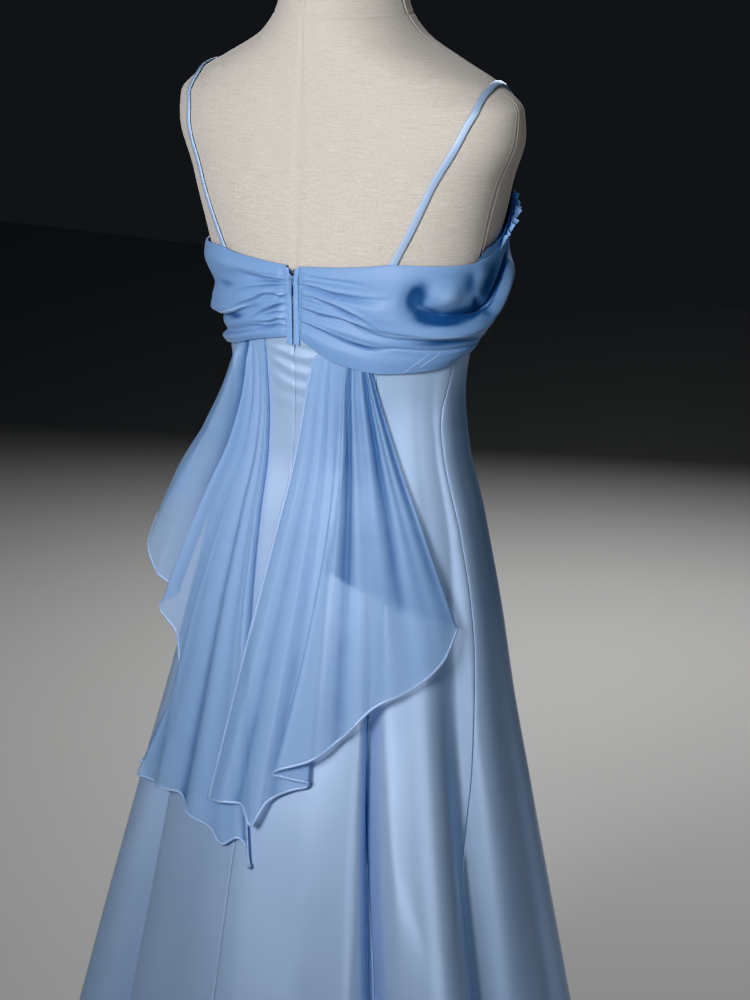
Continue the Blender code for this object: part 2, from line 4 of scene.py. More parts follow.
import bmesh
import bpy
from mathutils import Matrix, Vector, noise
from mathutils.bvhtree import BVHTree


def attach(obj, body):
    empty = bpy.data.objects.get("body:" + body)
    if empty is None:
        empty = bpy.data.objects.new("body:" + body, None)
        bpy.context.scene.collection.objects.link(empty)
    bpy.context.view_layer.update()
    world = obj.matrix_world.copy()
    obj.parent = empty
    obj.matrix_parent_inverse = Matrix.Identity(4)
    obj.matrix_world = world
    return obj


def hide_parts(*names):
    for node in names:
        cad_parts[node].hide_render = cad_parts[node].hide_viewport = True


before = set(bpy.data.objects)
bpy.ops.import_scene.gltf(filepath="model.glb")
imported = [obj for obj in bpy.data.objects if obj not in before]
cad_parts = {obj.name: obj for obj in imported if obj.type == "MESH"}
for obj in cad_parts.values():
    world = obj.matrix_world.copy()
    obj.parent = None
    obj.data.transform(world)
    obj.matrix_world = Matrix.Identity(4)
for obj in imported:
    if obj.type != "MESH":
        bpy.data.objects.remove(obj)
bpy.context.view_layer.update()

# Camera: behind the wearer's right shoulder, a little above it and tipped down, with a long lens.
# The small shift sets the gown left of the middle, as in the photograph.
def put(name, data):
    """Put data into the scene as an object."""
    made = bpy.data.objects.new(name, data)
    bpy.context.scene.collection.objects.link(made)
    return made


VIEW_TURN, VIEW_TIP = radians(215), radians(14.9)
VIEW_DISTANCE, VIEW_HEIGHT = 2.6, 1.69
view = bpy.data.cameras.new("camera")
view.sensor_fit = "VERTICAL"
view.sensor_height = 36
view.lens = 93.5
view.shift_x = 0.027
camera = put("camera", view)
camera.location = (VIEW_DISTANCE * sin(VIEW_TURN), -VIEW_DISTANCE * cos(VIEW_TURN), VIEW_HEIGHT)
camera.rotation_euler = (pi / 2 - VIEW_TIP, 0, VIEW_TURN)
bpy.context.scene.camera = camera


# Studio: a pale matt floor under soft round lamps. A small narrow one stands high behind the gown, aimed
# at the bodice; one fills from the wearer's left, a wide one from the right and one lights the front.
def lamp(name, place, size, power, aim=(0, 0, 1), spread=180):
    light = bpy.data.lights.new(name, "AREA")
    light.shape = "DISK"
    light.size = size
    light.energy = power
    light.spread = radians(spread)
    holder = put(name, light)
    holder.location = place
    holder.rotation_euler = (Vector(place) - Vector(aim)).to_track_quat("Z", "Y").to_euler()


def linear(code):
    """A colour's sRGB hex code as linear red, green and blue, and a full alpha."""
    parts = [int(code[i:i + 2], 16) / 255 for i in (1, 3, 5)]
    return (*(p / 12.92 if p <= 0.04045 else ((p + 0.055) / 1.055) ** 2.4 for p in parts), 1)


def finish(name, colour, **settings):
    """A material whose shader holds its plain settings; a pattern is added to it with node()."""
    made = bpy.data.materials.new(name)
    made.use_nodes = True
    shader = made.node_tree.nodes["Principled BSDF"]
    shader.inputs["Base Color"].default_value = linear(colour)
    for key, value in settings.items():
        shader.inputs[key.replace("_", " ")].default_value = value
    return made


def node(material, kind, sockets=(), **settings):
    """Add one node: its settings, then each socket's number, colour or link. A node links its first output."""
    added = material.node_tree.nodes.new("ShaderNode" + kind)
    for key, value in settings.items():
        setattr(added, key, value)
    for key, value in dict(sockets).items():
        if isinstance(value, (bpy.types.Node, bpy.types.NodeSocket)):
            feed(material, added.inputs[key], value)
        else:
            added.inputs[key].default_value = value
    return added


def feed(material, socket, value):
    """Link an output, or a node's first one, to a socket or to the shader's socket of that name."""
    if isinstance(socket, str):
        socket = material.node_tree.nodes["Principled BSDF"].inputs[socket]
    material.node_tree.links.new(getattr(value, "outputs", [value])[0], socket)


def piece_of(bm, name, material):
    """Make a finished bmesh a piece of the scene, in its material."""
    mesh = bpy.data.meshes.new(name)
    bm.to_mesh(mesh)
    bm.free()
    mesh.materials.append(material)
    return put(name, mesh)


lamp("key_lamp", (-0.42, 2.32, 1.92), 0.8, 7.8, aim=(0, 0, 1.28), spread=60)
lamp("left_lamp", (2, 1.7, 1.7), 1, 5.2)
lamp("side_lamp", (-2.5, 1.4, 1.35), 2, 14)
lamp("front_lamp", (1.2, -3, 2.4), 2, 60)
sky = bpy.data.worlds.new("studio")
sky.use_nodes = True
background = sky.node_tree.nodes["Background"]
background.inputs["Color"].default_value = linear("#C9CCD2")
background.inputs["Strength"].default_value = 0.05
bpy.context.scene.world = sky
bpy.context.scene.view_settings.view_transform = "Khronos PBR Neutral"
floor_paint = finish("pale_floor_paint", "#D5D5D3", Roughness=0.85)
bm = bmesh.new()
bmesh.ops.create_grid(bm, x_segments=1, y_segments=1, size=6)
piece_of(bm, "floor", floor_paint)


# Dress form: a padded torso and neck without limbs, covered in cream linen. The cover is sewn from
# a front and back half with seams down the centre and sides and one round the neck.
def curves(*rows):
    """Make a function that reads a table's columns at any value of its first column, without overshoot."""
    keys = [row[0] for row in rows]
    columns = list(zip(*rows))[1:]
    spans = [after - before for before, after in zip(keys, keys[1:])]

    def tangents(values):
        rises = [(after - before) / span for before, after, span in zip(values, values[1:], spans)]
        middle = [2 * p * q / (p + q) if p * q > 0 else 0 for p, q in zip(rises, rises[1:])]
        return [rises[0]] + middle + [rises[-1]]

    slopes = [tangents(values) for values in columns]

    @cache
    def read(key):
        key = min(max(key, keys[0]), keys[-1])
        i = 0
        while i < len(spans) - 1 and key > keys[i + 1]:
            i += 1
        t = (key - keys[i]) / spans[i]
        near, far = (1 + 2 * t) * (1 - t) ** 2, t * t * (3 - 2 * t)
        lead, trail = t * (1 - t) ** 2 * spans[i], t * t * (t - 1) * spans[i]
        return [near * v[i] + far * v[i + 1] + lead * m[i] + trail * m[i + 1]
                for v, m in zip(columns, slopes)]

    return read


rings = curves(
    # height, half width, back depth, front depth, squareness, ease over the form
    (0.018, 0.335, 0.36, 0.255, 2, 0.06), (0.25, 0.292, 0.305, 0.205, 2, 0.06),
    (0.43, 0.254, 0.256, 0.17, 2, 0.05), (0.56, 0.228, 0.226, 0.156, 2, 0.04),
    (0.705, 0.2, 0.191, 0.143, 2, 0.03), (0.8, 0.184, 0.166, 0.13, 2, 0.02),
    (0.9, 0.17, 0.14, 0.121, 2, 0.008), (1, 0.15, 0.112, 0.108, 2, 0.003),
    (1.07, 0.132, 0.094, 0.098, 2, 0.0025), (1.12, 0.127, 0.09, 0.096, 2, 0.0025),
    (1.18, 0.135, 0.091, 0.102, 2, 0.0025), (1.23, 0.152, 0.092, 0.118, 2.1, 0.0025),
    (1.266, 0.16, 0.093, 0.119, 2.2, 0.0025), (1.335, 0.178, 0.09, 0.104, 2.5, 0.0025),
    (1.385, 0.197, 0.086, 0.086, 2.4, 0.001), (1.41, 0.199, 0.084, 0.076, 2.2, 0.001),
    (1.436, 0.172, 0.082, 0.066, 2, 0.001), (1.452, 0.14, 0.081, 0.06, 2, 0.001),
    (1.48, 0.088, 0.079, 0.053, 2, 0.001), (1.505, 0.068, 0.076, 0.05, 2, 0.001),
    (1.53, 0.063, 0.071, 0.051, 2, 0.001), (1.56, 0.062, 0.068, 0.054, 2, 0.001),
)
CUP_ANGLE, CUP_SPREAD = 148, 17
CUP_HEIGHT, CUP_RISE, CUP_DEPTH, CUP_ROOM = 1.262, 0.045, 0.016, 0.0025
FLUTES_TOP = 0.96
flute_depth = curves((0.018, 0.055), (0.43, 0.038), (0.705, 0.02), (0.88, 0.004), (FLUTES_TOP, 0), (1.6, 0))
FLUTES = (
    # angle either side of the centre back, half width, share of the full depth
    (0, 20, 0.08), (40, 7, -0.3), (57, 19, 1), (112, 20, 0.35), (158, 16, 0.45),
)


def bare_point(angle, height, ease=0, fluted=True):
    """A point of the gown's surface, or of the form inside it for the whole ease."""
    wide, back, front, square, room = rings(height)
    inward = ease * room
    side, along = sin(radians(angle)), cos(radians(angle))
    depth = back if along >= 0 else front
    x = (wide - inward) * copysign(abs(side) ** (2 / square), side)
    y = (depth - inward) * copysign(abs(along) ** (2 / square), along)
    turn = abs((angle + 180) % 360 - 180)
    rise = ((turn - CUP_ANGLE) / CUP_SPREAD) ** 2 + ((height - CUP_HEIGHT) / CUP_RISE) ** 2
    out = (CUP_DEPTH - CUP_ROOM * ease) * exp(-rise)
    if fluted and not ease and height < FLUTES_TOP:
        for centre, half, share in FLUTES:
            if abs(turn - centre) < half:
                out += share * flute_depth(height)[0] * cos(pi / 2 * (turn - centre) / half) ** 2
    away = Vector((x / wide, y / depth, 0)).normalized()
    return Vector((x, y, height)) + away * out


def sheet_mesh(name, columns, rows, surface, material, turned=False, closed=False):
    """A grid laid on the surface, its u from 0 to 1 across and its v from 0 at the top to 1 at the foot."""
    bm = bmesh.new()
    bm.loops.layers.uv.new("cut")
    bmesh.ops.create_grid(bm, x_segments=columns, y_segments=rows, size=0.5, calc_uvs=True)
    for vert in bm.verts:
        vert.co = surface(vert.co.x + 0.5, 0.5 - vert.co.y)
    if closed:
        bmesh.ops.remove_doubles(bm, verts=bm.verts[:], dist=0.00002)
        bmesh.ops.dissolve_degenerate(bm, edges=bm.edges[:], dist=0.00001)
    if turned:
        bmesh.ops.reverse_faces(bm, faces=bm.faces[:])
    piece = piece_of(bm, name, material)
    piece.data.shade_smooth()
    return piece


def wear(piece, slot, *nodes):
    """The piece rides on the dressed form and stands for the nodes, which it hides; the slot is not used."""
    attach(piece, "gown_on_form")
    if nodes:
        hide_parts(*nodes)


def bell(off):
    """One in the middle of a fold or seam, fading to nothing on both sides."""
    return exp(-off * off)


NECK_TOP, NECK_SEAM, TORSO_FOOT = 1.56, 1.497, 0.8
FORM_ROUNDING, CAP_ROWS = 0.006, 4
form_levels = (
    [1.56 - 0.0008 * i for i in range(8)] + [1.553 - 0.004 * i for i in range(13)]
    + [1.5015 - 0.0009 * i for i in range(10)] + [1.491 - 0.0035 * i for i in range(40)]
    + [1.348 - 0.006 * i for i in range(90)] + [0.806 - 0.001 * i for i in range(7)]
)
form_rows = len(form_levels) + 2 * CAP_ROWS - 1


def form_cover_surface(u, v):
    """Down from the middle of the neck's top, over the cover and in to the middle of its foot."""
    angle = 360 * (u - 0.85 * sin(8 * pi * u) / (8 * pi))
    step, last = v * form_rows - CAP_ROWS, len(form_levels) - 1
    level = form_levels[round(min(max(step, 0), last))]
    share = max(0, 1 - max(-step, step - last, 0) / CAP_ROWS)
    spot = bare_point(angle, level, ease=1)
    end = min(1, min(NECK_TOP - level, level - TORSO_FOOT) / FORM_ROUNDING)
    shrink = (1 - 0.08 * (1 - sqrt(max(0, 1 - (1 - end) ** 2)))) * share
    off = min(abs((angle + 45) % 90 - 45) * spot.xy.length * pi / 180, abs(level - NECK_SEAM))
    groove = 0.0007 * bell(off / 0.0011) - 0.0003 * bell((off - 0.003) / 0.0016)
    inward = spot.xy.normalized() * groove * share
    return Vector((spot.x * shrink - inward.x, spot.y * shrink - inward.y, level))


# Plain-woven linen: slubby threads of uneven thickness give a matt, faintly mottled face. They are drawn
# about 2 mm apart, where the real ones lie at 0.6 mm, so that they show.
linen = finish("woven_linen_cover", "#CDC5B6", Roughness=0.88, Sheen_Weight=0.25, Sheen_Roughness=0.6)
spots = node(linen, "UVMap", uv_map="cut")
threads = node(linen, "Mapping", {"Vector": spots, "Scale": (450, 420, 1)})
warp = node(linen, "TexNoise", {"Vector": threads, "Scale": 1, "Detail": 3})
across = node(linen, "Mapping", {"Vector": spots, "Scale": (60, 700, 1)})
weft = node(linen, "TexNoise", {"Vector": across, "Scale": 1, "Detail": 2})
both = node(linen, "Math", {0: warp, 1: weft}, operation="ADD")
tint = node(linen, "MapRange", {"Value": both, "From Min": 0.6, "From Max": 1.4, "To Min": 0, "To Max": 1})
shades = node(linen, "Mix", {
    "Factor": tint, "A": linear("#B0A89F"), "B": linear("#CAC4BE")}, data_type="RGBA")
feed(linen, "Base Color", shades.outputs["Result"])
feed(linen, "Normal", node(linen, "Bump", {"Height": both, "Strength": 0.25, "Distance": 0.0006}))

form_cover = sheet_mesh("form_cover", 176, form_rows, form_cover_surface, linen, turned=True, closed=True)
wear(form_cover, "cream_linen", "form_torso")

# Stand: a cast base and collar in grey stove enamel, and a chromed steel tube. Their turned shapes
# stay, with an orange-peel skin on the enamel and fine polishing marks round the tube.
enamel = finish("grey_stove_enamel", "#3A3B3D", Roughness=0.42, Coat_Weight=0.2)
peel = node(enamel, "TexNoise",
            {"Vector": node(enamel, "TexCoord").outputs["Object"], "Scale": 420, "Detail": 2})
feed(enamel, "Normal", node(enamel, "Bump", {"Height": peel, "Strength": 0.12, "Distance": 0.0004}))
chrome = finish("polished_chrome_tube", "#C8CACD", Roughness=0.12, Metallic=1)
marks = node(chrome, "Mapping", {
    "Vector": node(chrome, "TexCoord").outputs["Object"], "Scale": (20, 20, 900)})
rubbed = node(chrome, "TexNoise", {"Vector": marks, "Scale": 1, "Detail": 3})
feed(chrome, "Roughness", node(chrome, "MapRange", {"Value": rubbed, "To Min": 0.08, "To Max": 0.22}))
for part, paint in (("stand_base", enamel), ("stand_collar", enamel), ("stand_pole", chrome)):
    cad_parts[part].material_slots[0].material = paint

# Satin panels: seven princess panels in heavy ice-blue duchess satin, each cut in one from the
# bodice's top edge to the floor. Seams pucker a little, and the skirt hangs in soft flutes.
SIDES = (("left", 1), ("right", -1))
SATIN_WALL, SATIN_CLOTH, FORM_ROOM = 0.0015, 0.0007, 0.0034
HEM_HEIGHT = 0.018
TURNED_IN, ROW_CROWDING = 0.0035, 1.7
ZIP_SLOT, ZIP_FOOT, ZIP_SHUT, CLEARANCE = 0.002, 0.86, 1.18, 0.0003
NOTCH_FOOT, NOTCH_WIDTH = 1.2425, 0.0036
top_edge = curves(
    # angle either side of the centre back, height of the bodice's top edge
    (0, 1.256), (14, 1.2585), (28, 1.2615), (40, 1.2648), (56, 1.2638), (80, 1.263),
    (95, 1.269), (118, 1.302), (140, 1.334), (150, 1.338), (163, 1.318), (180, 1.288),
)
seams = curves(
    # height, angles of the back princess, side and front princess seams
    (0.018, 43, 64, 142), (0.54, 42, 66, 141), (0.76, 39, 76, 140), (0.92, 38, 80, 139),
    (1.09, 40, 77, 138), (1.16, 40, 86, 140), (1.27, 40, 90, 143),
)


def outward(angle, height, ease=0):
    """The direction square to the body under the flutes."""
    across = bare_point(angle + 0.4, height, ease, False) - bare_point(angle - 0.4, height, ease, False)
    upward = bare_point(angle, height + 0.002, ease, False) - bare_point(angle, height - 0.002, ease, False)
    return upward.cross(across).normalized()


def gown_point(angle, height, lift):
    """A point that stands off the gown's surface by the lift."""
    return bare_point(angle, height) + outward(angle, height) * lift


def degrees_of(length, angle, height):
    """How many degrees round the gown a short length takes at a place."""
    return length / (bare_point(angle + 0.5, height) - bare_point(angle - 0.5, height)).length


SATIN_FOLDS = (
    # angle and height of the middle, tilt (degrees of angle per metre), half widths towards the centre back
    # and away from it, half height, rise in mm
    (-40.6, 0.54, 6, 1.3, 2.6, 0.42, -26), (-71.5, 0.5, 4, 8, 5.5, 0.4, -21),
    (-83, 0.76, 0, 6, 7, 0.34, 3), (-75, 1.02, 0, 16, 8, 0.13, 1.5), (75, 1.02, 0, 16, 8, 0.13, 1.5),
    (-22, 0.36, 0, 5, 5, 0.3, 3), (-10, 0.3, 3, 4, 4, 0.22, -2.5), (18, 0.3, 0, 6, 6, 0.26, -3),
    (42.2, 0.48, 0, 2.6, 4, 0.34, -14), (68, 0.46, -4, 6, 3, 0.34, -11), (84, 0.5, 0, 4.5, 5, 0.34, 5),
    (-98, 0.4, 0, 4, 6, 0.28, -6), (100, 0.36, 0, 4, 6, 0.28, -6), (128, 0.4, 0, 7, 5, 0.32, 3),
    (-132, 0.34, 0, 7, 6, 0.28, 4), (138, 0.34, 0, 5, 3, 0.28, -5), (-144, 0.36, 0, 5, 3, 0.28, -6),
    (176, 0.36, 0, 10, 10, 0.4, -1.5),
)
PULL_TOP, PULL_FOOT, PULL_SPACING = 1.184, 1.112, 0.016


def satin_rise(angle, height):
    """Small folds of the satin, in metres: tension wrinkles at the waist and soft flutes near the hem."""
    total = 0
    for centre, level, tilt, near, far, tall, rise in SATIN_FOLDS:
        away = (angle - centre - tilt * (height - level) + 180) % 360 - 180
        half = far if away * centre > 0 else near
        up = (height - level) / tall
        if abs(away) < 3 * half and abs(up) < 3:
            total += rise * exp(-(away / half) ** 2 - up * up)
    if PULL_FOOT < height < PULL_TOP and abs(angle) < 26:
        along = (PULL_TOP - height) / (PULL_TOP - PULL_FOOT)
        drift = 0.9 * noise.noise(Vector((angle * 0.06, height * 24, 3.1))) + abs(angle) * 0.045
        pull = sin(2 * pi * ((PULL_TOP - height) / PULL_SPACING + drift))
        total += min(1, along * 4.5) * (1.9 * pull + 1.2) * (1 - along) ** 0.6 * bell((abs(angle) - 3) / 8)
    wander = noise.noise(Vector((angle * 0.045, height * 3, 7.3)))
    fall = min(max((1.05 - height) / 0.3, 0), 1)
    return (total + wander * (0.35 + 1.4 * fall)) * 0.001


PUCKERING = {"centre": 0.3, "back": 0.8, "side": 0.45, "front": 0.8}


def pucker(seam, distance, height, hand):
    """How a seam dips and puckers, in metres, at a distance in metres from its edge."""
    gather = noise.noise(Vector((height * 62, (2 * hand + len(seam)) * 3.1, 1.7)))
    dip = -0.0008 * bell(distance / 0.0016)
    return PUCKERING[seam] * (dip + 0.0008 * gather * bell(distance / 0.007))


def zip_opening(height):
    """Half the width between the centre back edges: a notch, then a slot, closed over the zip below."""
    closed = min(max((ZIP_SHUT - height) / 0.012, 0), 1)
    notch = NOTCH_WIDTH * max(0, (height - NOTCH_FOOT) / (top_edge(0)[0] - NOTCH_FOOT))
    return ZIP_SLOT / 2 + (CLEARANCE / 2 - ZIP_SLOT / 2) * closed + notch


def seam_angle(seam, height):
    """Where a seam runs at a height, in degrees from the centre back."""
    back, side, front = seams(height)
    return {"centre": 0, "back": back, "side": side, "front": front}[seam]


@cache
def angle_at_top(first, last, u):
    """Where a lengthwise thread between two seams meets the top edge."""
    height = 1.27
    for _ in range(4):
        angle = seam_angle(first, height) * (1 - u) + seam_angle(last, height) * u
        height = top_edge(angle)[0]
    return angle


def crowd(u):
    """Bring the lengthwise threads closer near both seams."""
    return u - 0.72 * sin(2 * pi * u) / (2 * pi)


def satin_point(angle, height, puckered):
    """A point of the satin's outer face with its folds, clear of the form."""
    lift = SATIN_WALL + satin_rise(angle, height) + puckered
    return gown_point(angle, height, max(lift, FORM_ROOM - rings(height)[4]))


def panel_surface(first, last, hand):
    """One panel's outer face between two seams."""
    def surface(u, v):
        u = crowd(u)
        top = top_edge(angle_at_top(first, last, u))[0] - TURNED_IN
        height = top - (top - HEM_HEIGHT) * v ** ROW_CROWDING
        low, high = seam_angle(first, height), seam_angle(last, height)
        gap = zip_opening(height) if first == "centre" else CLEARANCE / 2
        low += degrees_of(gap, low, height)
        high -= degrees_of(CLEARANCE / 2, high, height)
        angle = low + (high - low) * u
        width = (high - low) / degrees_of(1, angle, height)
        puckered = pucker(first, u * width, height, hand) + pucker(last, (1 - u) * width, height, hand)
        return satin_point(hand * angle, height, puckered)
    return surface


def front_surface(u, v):
    """The front panel's outer face, from seam to seam over the centre front."""
    u = crowd(u)
    share = 2 * abs(u - 0.5)
    top = top_edge(180 + (angle_at_top("front", "front", 0.5) - 180) * share)[0] - TURNED_IN
    height = top - (top - HEM_HEIGHT) * v ** ROW_CROWDING
    seam = seam_angle("front", height)
    seam += degrees_of(CLEARANCE / 2, seam, height)
    angle = seam + (360 - 2 * seam) * u
    width = (360 - 2 * seam) / degrees_of(1, angle, height)
    puckered = pucker("front", u * width, height, 1) + pucker("front", (1 - u) * width, height, -1)
    return satin_point(angle, height, puckered)


def thicken(piece, thickness):
    """Give a sheet its wall, inwards from its outer face."""
    wall = piece.modifiers.new("wall", "SOLIDIFY")
    wall.thickness = thickness
    wall.offset = -1


# Duchess satin: long warp floats give a smooth, luminous face with a broad soft highlight; the fine
# ribs of the weave are drawn a little coarser than the real 0.1 mm so that they show at all.
satin = finish("ice_blue_duchess_satin", "#A7BFE3", Roughness=0.34, Anisotropic=0.35, Metallic=0.3,
               Sheen_Weight=0.05, Sheen_Roughness=0.35, Specular_IOR_Level=0.7)
satin_spots = node(satin, "TexCoord").outputs["Object"]
floats = node(satin, "Mapping", {"Vector": satin_spots, "Scale": (900, 900, 60)})
ribs = node(satin, "TexNoise", {"Vector": floats, "Scale": 1, "Detail": 1})
clouds = node(satin, "TexNoise", {"Vector": satin_spots, "Scale": 9, "Detail": 3})
satin_tint = node(satin, "Mix", {
    "Factor": clouds, "A": linear("#A4BFE2"), "B": linear("#B4CBEC")}, data_type="RGBA")
feed(satin, "Base Color", satin_tint.outputs["Result"])
feed(satin, "Roughness", node(satin, "MapRange", {"Value": ribs, "To Min": 0.33, "To Max": 0.41}))
feed(satin, "Normal", node(satin, "Bump", {"Height": ribs, "Strength": 0.05, "Distance": 0.0001}))

PANELS = (
    # place on the gown, first seam, last seam, columns, flat width and length, flat area
    ("back", "centre", "back", 34, (0.27, 1.28), 0.205),
    ("side_back", "back", "side", 34, (0.17, 1.29), 0.165),
    ("side_front", "side", "front", 46, (0.44, 1.34), 0.31),
)
PANEL_ROWS = 250
for place, first, last, columns, cut, area in PANELS:
    for side, hand in SIDES:
        surface = panel_surface(first, last, hand)
        panel = sheet_mesh(f"{place}_panel_{side}", columns, PANEL_ROWS, surface, satin, turned=hand > 0)
        thicken(panel, SATIN_CLOTH)
        wear(panel, "ice_blue_satin", f"satin_{place}_{side}")
front_panel = sheet_mesh("front_panel", 60, PANEL_ROWS, front_surface, satin, turned=True)
thicken(front_panel, SATIN_CLOTH)
wear(front_panel, "ice_blue_satin", "satin_front")

# Straps: narrow satin rouleaux, sewn as tubes, 6.8 mm wide. They are caught inside the back top
# edge, run over the shoulders, the left one nearer the neck, and are caught again behind the cups.
STRAP_WIDTH, STRAP_HALF_DEPTH = 0.0068, 0.0011
strap_route = curves(
    # share of the way, angle and height on the right, angle and height on the left, lift in millimetres
    (0, 38.5, 1.26, 36.8, 1.26, 1.6), (0.1, 43.5, 1.295, 41.8, 1.297, 1.4),
    (0.2, 47.7, 1.333, 45.2, 1.333, 1.3), (0.3, 51.6, 1.367, 46.6, 1.368, 1.3),
    (0.38, 56.9, 1.396, 48.6, 1.398, 1.3), (0.44, 63.5, 1.4165, 53.4, 1.418, 1.4),
    (0.49, 75.5, 1.429, 63.5, 1.4325, 1.5), (0.53, 92, 1.4352, 84, 1.4405, 1.6),
    (0.58, 113, 1.43, 112, 1.4345, 1.6), (0.66, 127, 1.406, 127, 1.408, 1.6),
    (0.8, 138.5, 1.37, 139, 1.371, 1.4), (1, 149, 1.3395, 149, 1.3395, 1.8),
)


def form_point(angle, height, lift):
    """A point that stands off the form by the lift."""
    return bare_point(angle, height, 1) + outward(angle, height, 1) * lift


def strap_surface(hand):
    """Round the flat tube's section, and along its way."""
    side = 2 if hand > 0 else 0

    def middle(share):
        return form_point(hand * strap_route(share)[side], strap_route(share)[side + 1],
                          strap_route(share)[4] * 0.001 + 0.0006)

    def surface(u, v):
        angle, height = strap_route(v)[side:side + 2]
        onward = (middle(min(v + 0.01, 1)) - middle(max(v - 0.01, 0))).normalized()
        out = form_point(hand * angle, height, 0.002) - form_point(hand * angle, height, 0)
        square = onward.cross(out).normalized()
        out = square.cross(onward).normalized()
        turn = 2 * pi * u
        ends = max(0, 1 - v / 0.05)
        half = STRAP_WIDTH / 2 * (1 + 0.25 * ends)
        across = copysign(abs(cos(turn)) ** 0.8, cos(turn)) * half
        return middle(v) + square * across + out * sin(turn) * STRAP_HALF_DEPTH
    return surface


for side, hand in SIDES:
    strap = sheet_mesh("strap_rouleau_" + side, 16, 90, strap_surface(hand), satin, closed=True)
    wear(strap, "ice_blue_satin", "strap_" + side)

# Zip: a closed nylon coil zip in the centre back seam, two rows of small loops 1.5 mm apart, with
# an enamelled slider near the top edge.
ZIP_TOP, COIL_LOOPS, COIL_YARN, NOTCH_THREAD = 1.2535, 255, 0.00016, 0.00035


def coil_surface(hand):
    """Round the yarn and along its loops, down one half of the zip."""
    def surface(u, v):
        height = ZIP_TOP - (ZIP_TOP - ZIP_FOOT - 0.01) * v
        turn = 2 * pi * (v * COIL_LOOPS)
        around = 2 * pi * u
        spine = Vector((hand * (0.00034 + 0.00018 * cos(turn)), 0, height))
        spine.y = bare_point(0, height).y + 0.0002 + 0.00042 * sin(turn)
        return spine + Vector((cos(around), sin(around), 0)) * COIL_YARN
    return surface


def strand(name, path, radius, material):
    """A round thread along a few places."""
    spots = [path[0]] + list(path) + [path[-1]]

    def surface(u, v):
        i = min(int(v * (len(path) - 1)), len(path) - 2)
        t = v * (len(path) - 1) - i
        before, start, end, after = spots[i:i + 4]
        middle = start + (end - start) * t
        onward = (end - start).normalized() * (1 - t * t) + (after - before).normalized() * t * t
        across = onward.cross(Vector((0, 1, 0.3))).normalized()
        turn = 2 * pi * u
        return middle + (across * cos(turn) + across.cross(onward).normalized() * sin(turn)) * radius

    return sheet_mesh(name, 6, 8 * (len(path) - 1), surface, material, closed=True)


# Nylon, drawn near-black navy as painted shade for the dark slot it lies in: its small loops read as a dull, dark
# line.
nylon = finish("dark_nylon_coil", "#1A2840", Roughness=0.75)
for side, hand in SIDES:
    coil = sheet_mesh("zip_coil_" + side, 4, 1530, coil_surface(hand), nylon, closed=True)
    wear(coil, "blue_zip_tape", "zip_coils")
NOTCH_THREADS = (
    # a thread across the notch: its height and half width on the left, then on the right, and its lift
    (1.2535, 0.0052, 1.248, 0.004, 0.0036), (1.249, 0.0042, 1.2545, 0.0054, 0.004),
    (1.251, 0.0046, 1.245, 0.003, 0.0033), (1.2455, 0.0032, 1.2505, 0.0044, 0.0038),
)
for i, (left, left_half, right, right_half, lift) in enumerate(NOTCH_THREADS, 1):
    ends = (gown_point(degrees_of(left_half, 0, left), left, lift - 0.001),
            gown_point(0, (left + right) / 2 - 0.0006, lift),
            gown_point(-degrees_of(right_half, 0, right), right, lift - 0.001))
    wear(strand(f"notch_thread_{i}", ends, NOTCH_THREAD, nylon), "blue_zip_tape")
# Lacquered zinc: the thin paint takes the cloth's blue and leaves a soft highlight.
lacquer = finish("blue_lacquered_zinc", "#7F9DC4", Roughness=0.38, Metallic=0.2)
for part in ("zip_slider", "zip_pull_tab"):
    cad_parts[part].material_slots[0].material = lacquer

# Shirred strips: the chiffon's gathers are caught in a narrow strip down each side of the zip and
# stitched along both edges, so the strip puckers.
STRIP_WIDTH, STRIP_FOOT, STRIP_LIFT = 0.0064, 1.178, 0.0017
STRIP_CRIMPS, STRIP_STITCHES = 30, 40
CHIFFON_CLOTH = 0.0004

# Silk chiffon: very fine crepe yarns with open gaps, matt, with a faint bloom where it turns away. Its colour
# is drawn deeper where its layers bunch up in a fold, partly for the layers and partly as painted shade,
# and paler along a fold's edge as a painted highlight.
def chiffon_finish(name, deep_and_shaded, middle, pale_and_lit, alpha):
    made = finish(name, middle, Roughness=0.55, Sheen_Weight=0.12, Sheen_Roughness=0.4, Alpha=alpha)
    place = node(made, "TexCoord").outputs["Object"]
    yarn = node(made, "TexNoise", {"Vector": place, "Scale": 900, "Detail": 2})
    cloud = node(made, "TexNoise", {"Vector": place, "Scale": 26, "Detail": 3})
    layers_and_painted_light = node(made, "Attribute", attribute_name="layers_and_painted_light")
    drift = node(made, "Math", {0: cloud, 1: 0.16, 2: -0.08}, operation="MULTIPLY_ADD")
    layers_painted_light_and_mottle = node(made, "Math", {0: layers_and_painted_light.outputs["Fac"], 1: drift}, operation="ADD")
    ramp = node(made, "ValToRGB", {"Fac": layers_painted_light_and_mottle})
    ramp.color_ramp.interpolation = "EASE"
    ramp.color_ramp.elements[0].color = linear(pale_and_lit)
    ramp.color_ramp.elements[1].color = linear(deep_and_shaded)
    ramp.color_ramp.elements.new(0.5).color = linear(middle)
    feed(made, "Base Color", ramp)
    feed(made, "Normal", node(made, "Bump", {"Height": yarn, "Strength": 0.16, "Distance": 0.0003}))
    return made


# Each chiffon's colours run from the deepest, for folds and partly painted shade, through its own to the palest, a
# painted highlight on edges.
chiffon = chiffon_finish("cornflower_chiffon_gathered", "#284A7C", "#7698C6", "#9BB8DE", 1)
sheer = chiffon_finish("cornflower_chiffon_single", "#3F6AA3", "#96B9E5", "#B6CEEE", 0.63)
ribbon = chiffon_finish("cornflower_chiffon_shirred", "#4B76B8", "#7EA1D3", "#A3BFE4", 1)
LOOK_TURNS = [pi * (i + 0.5) / 4 for i in range(8)]


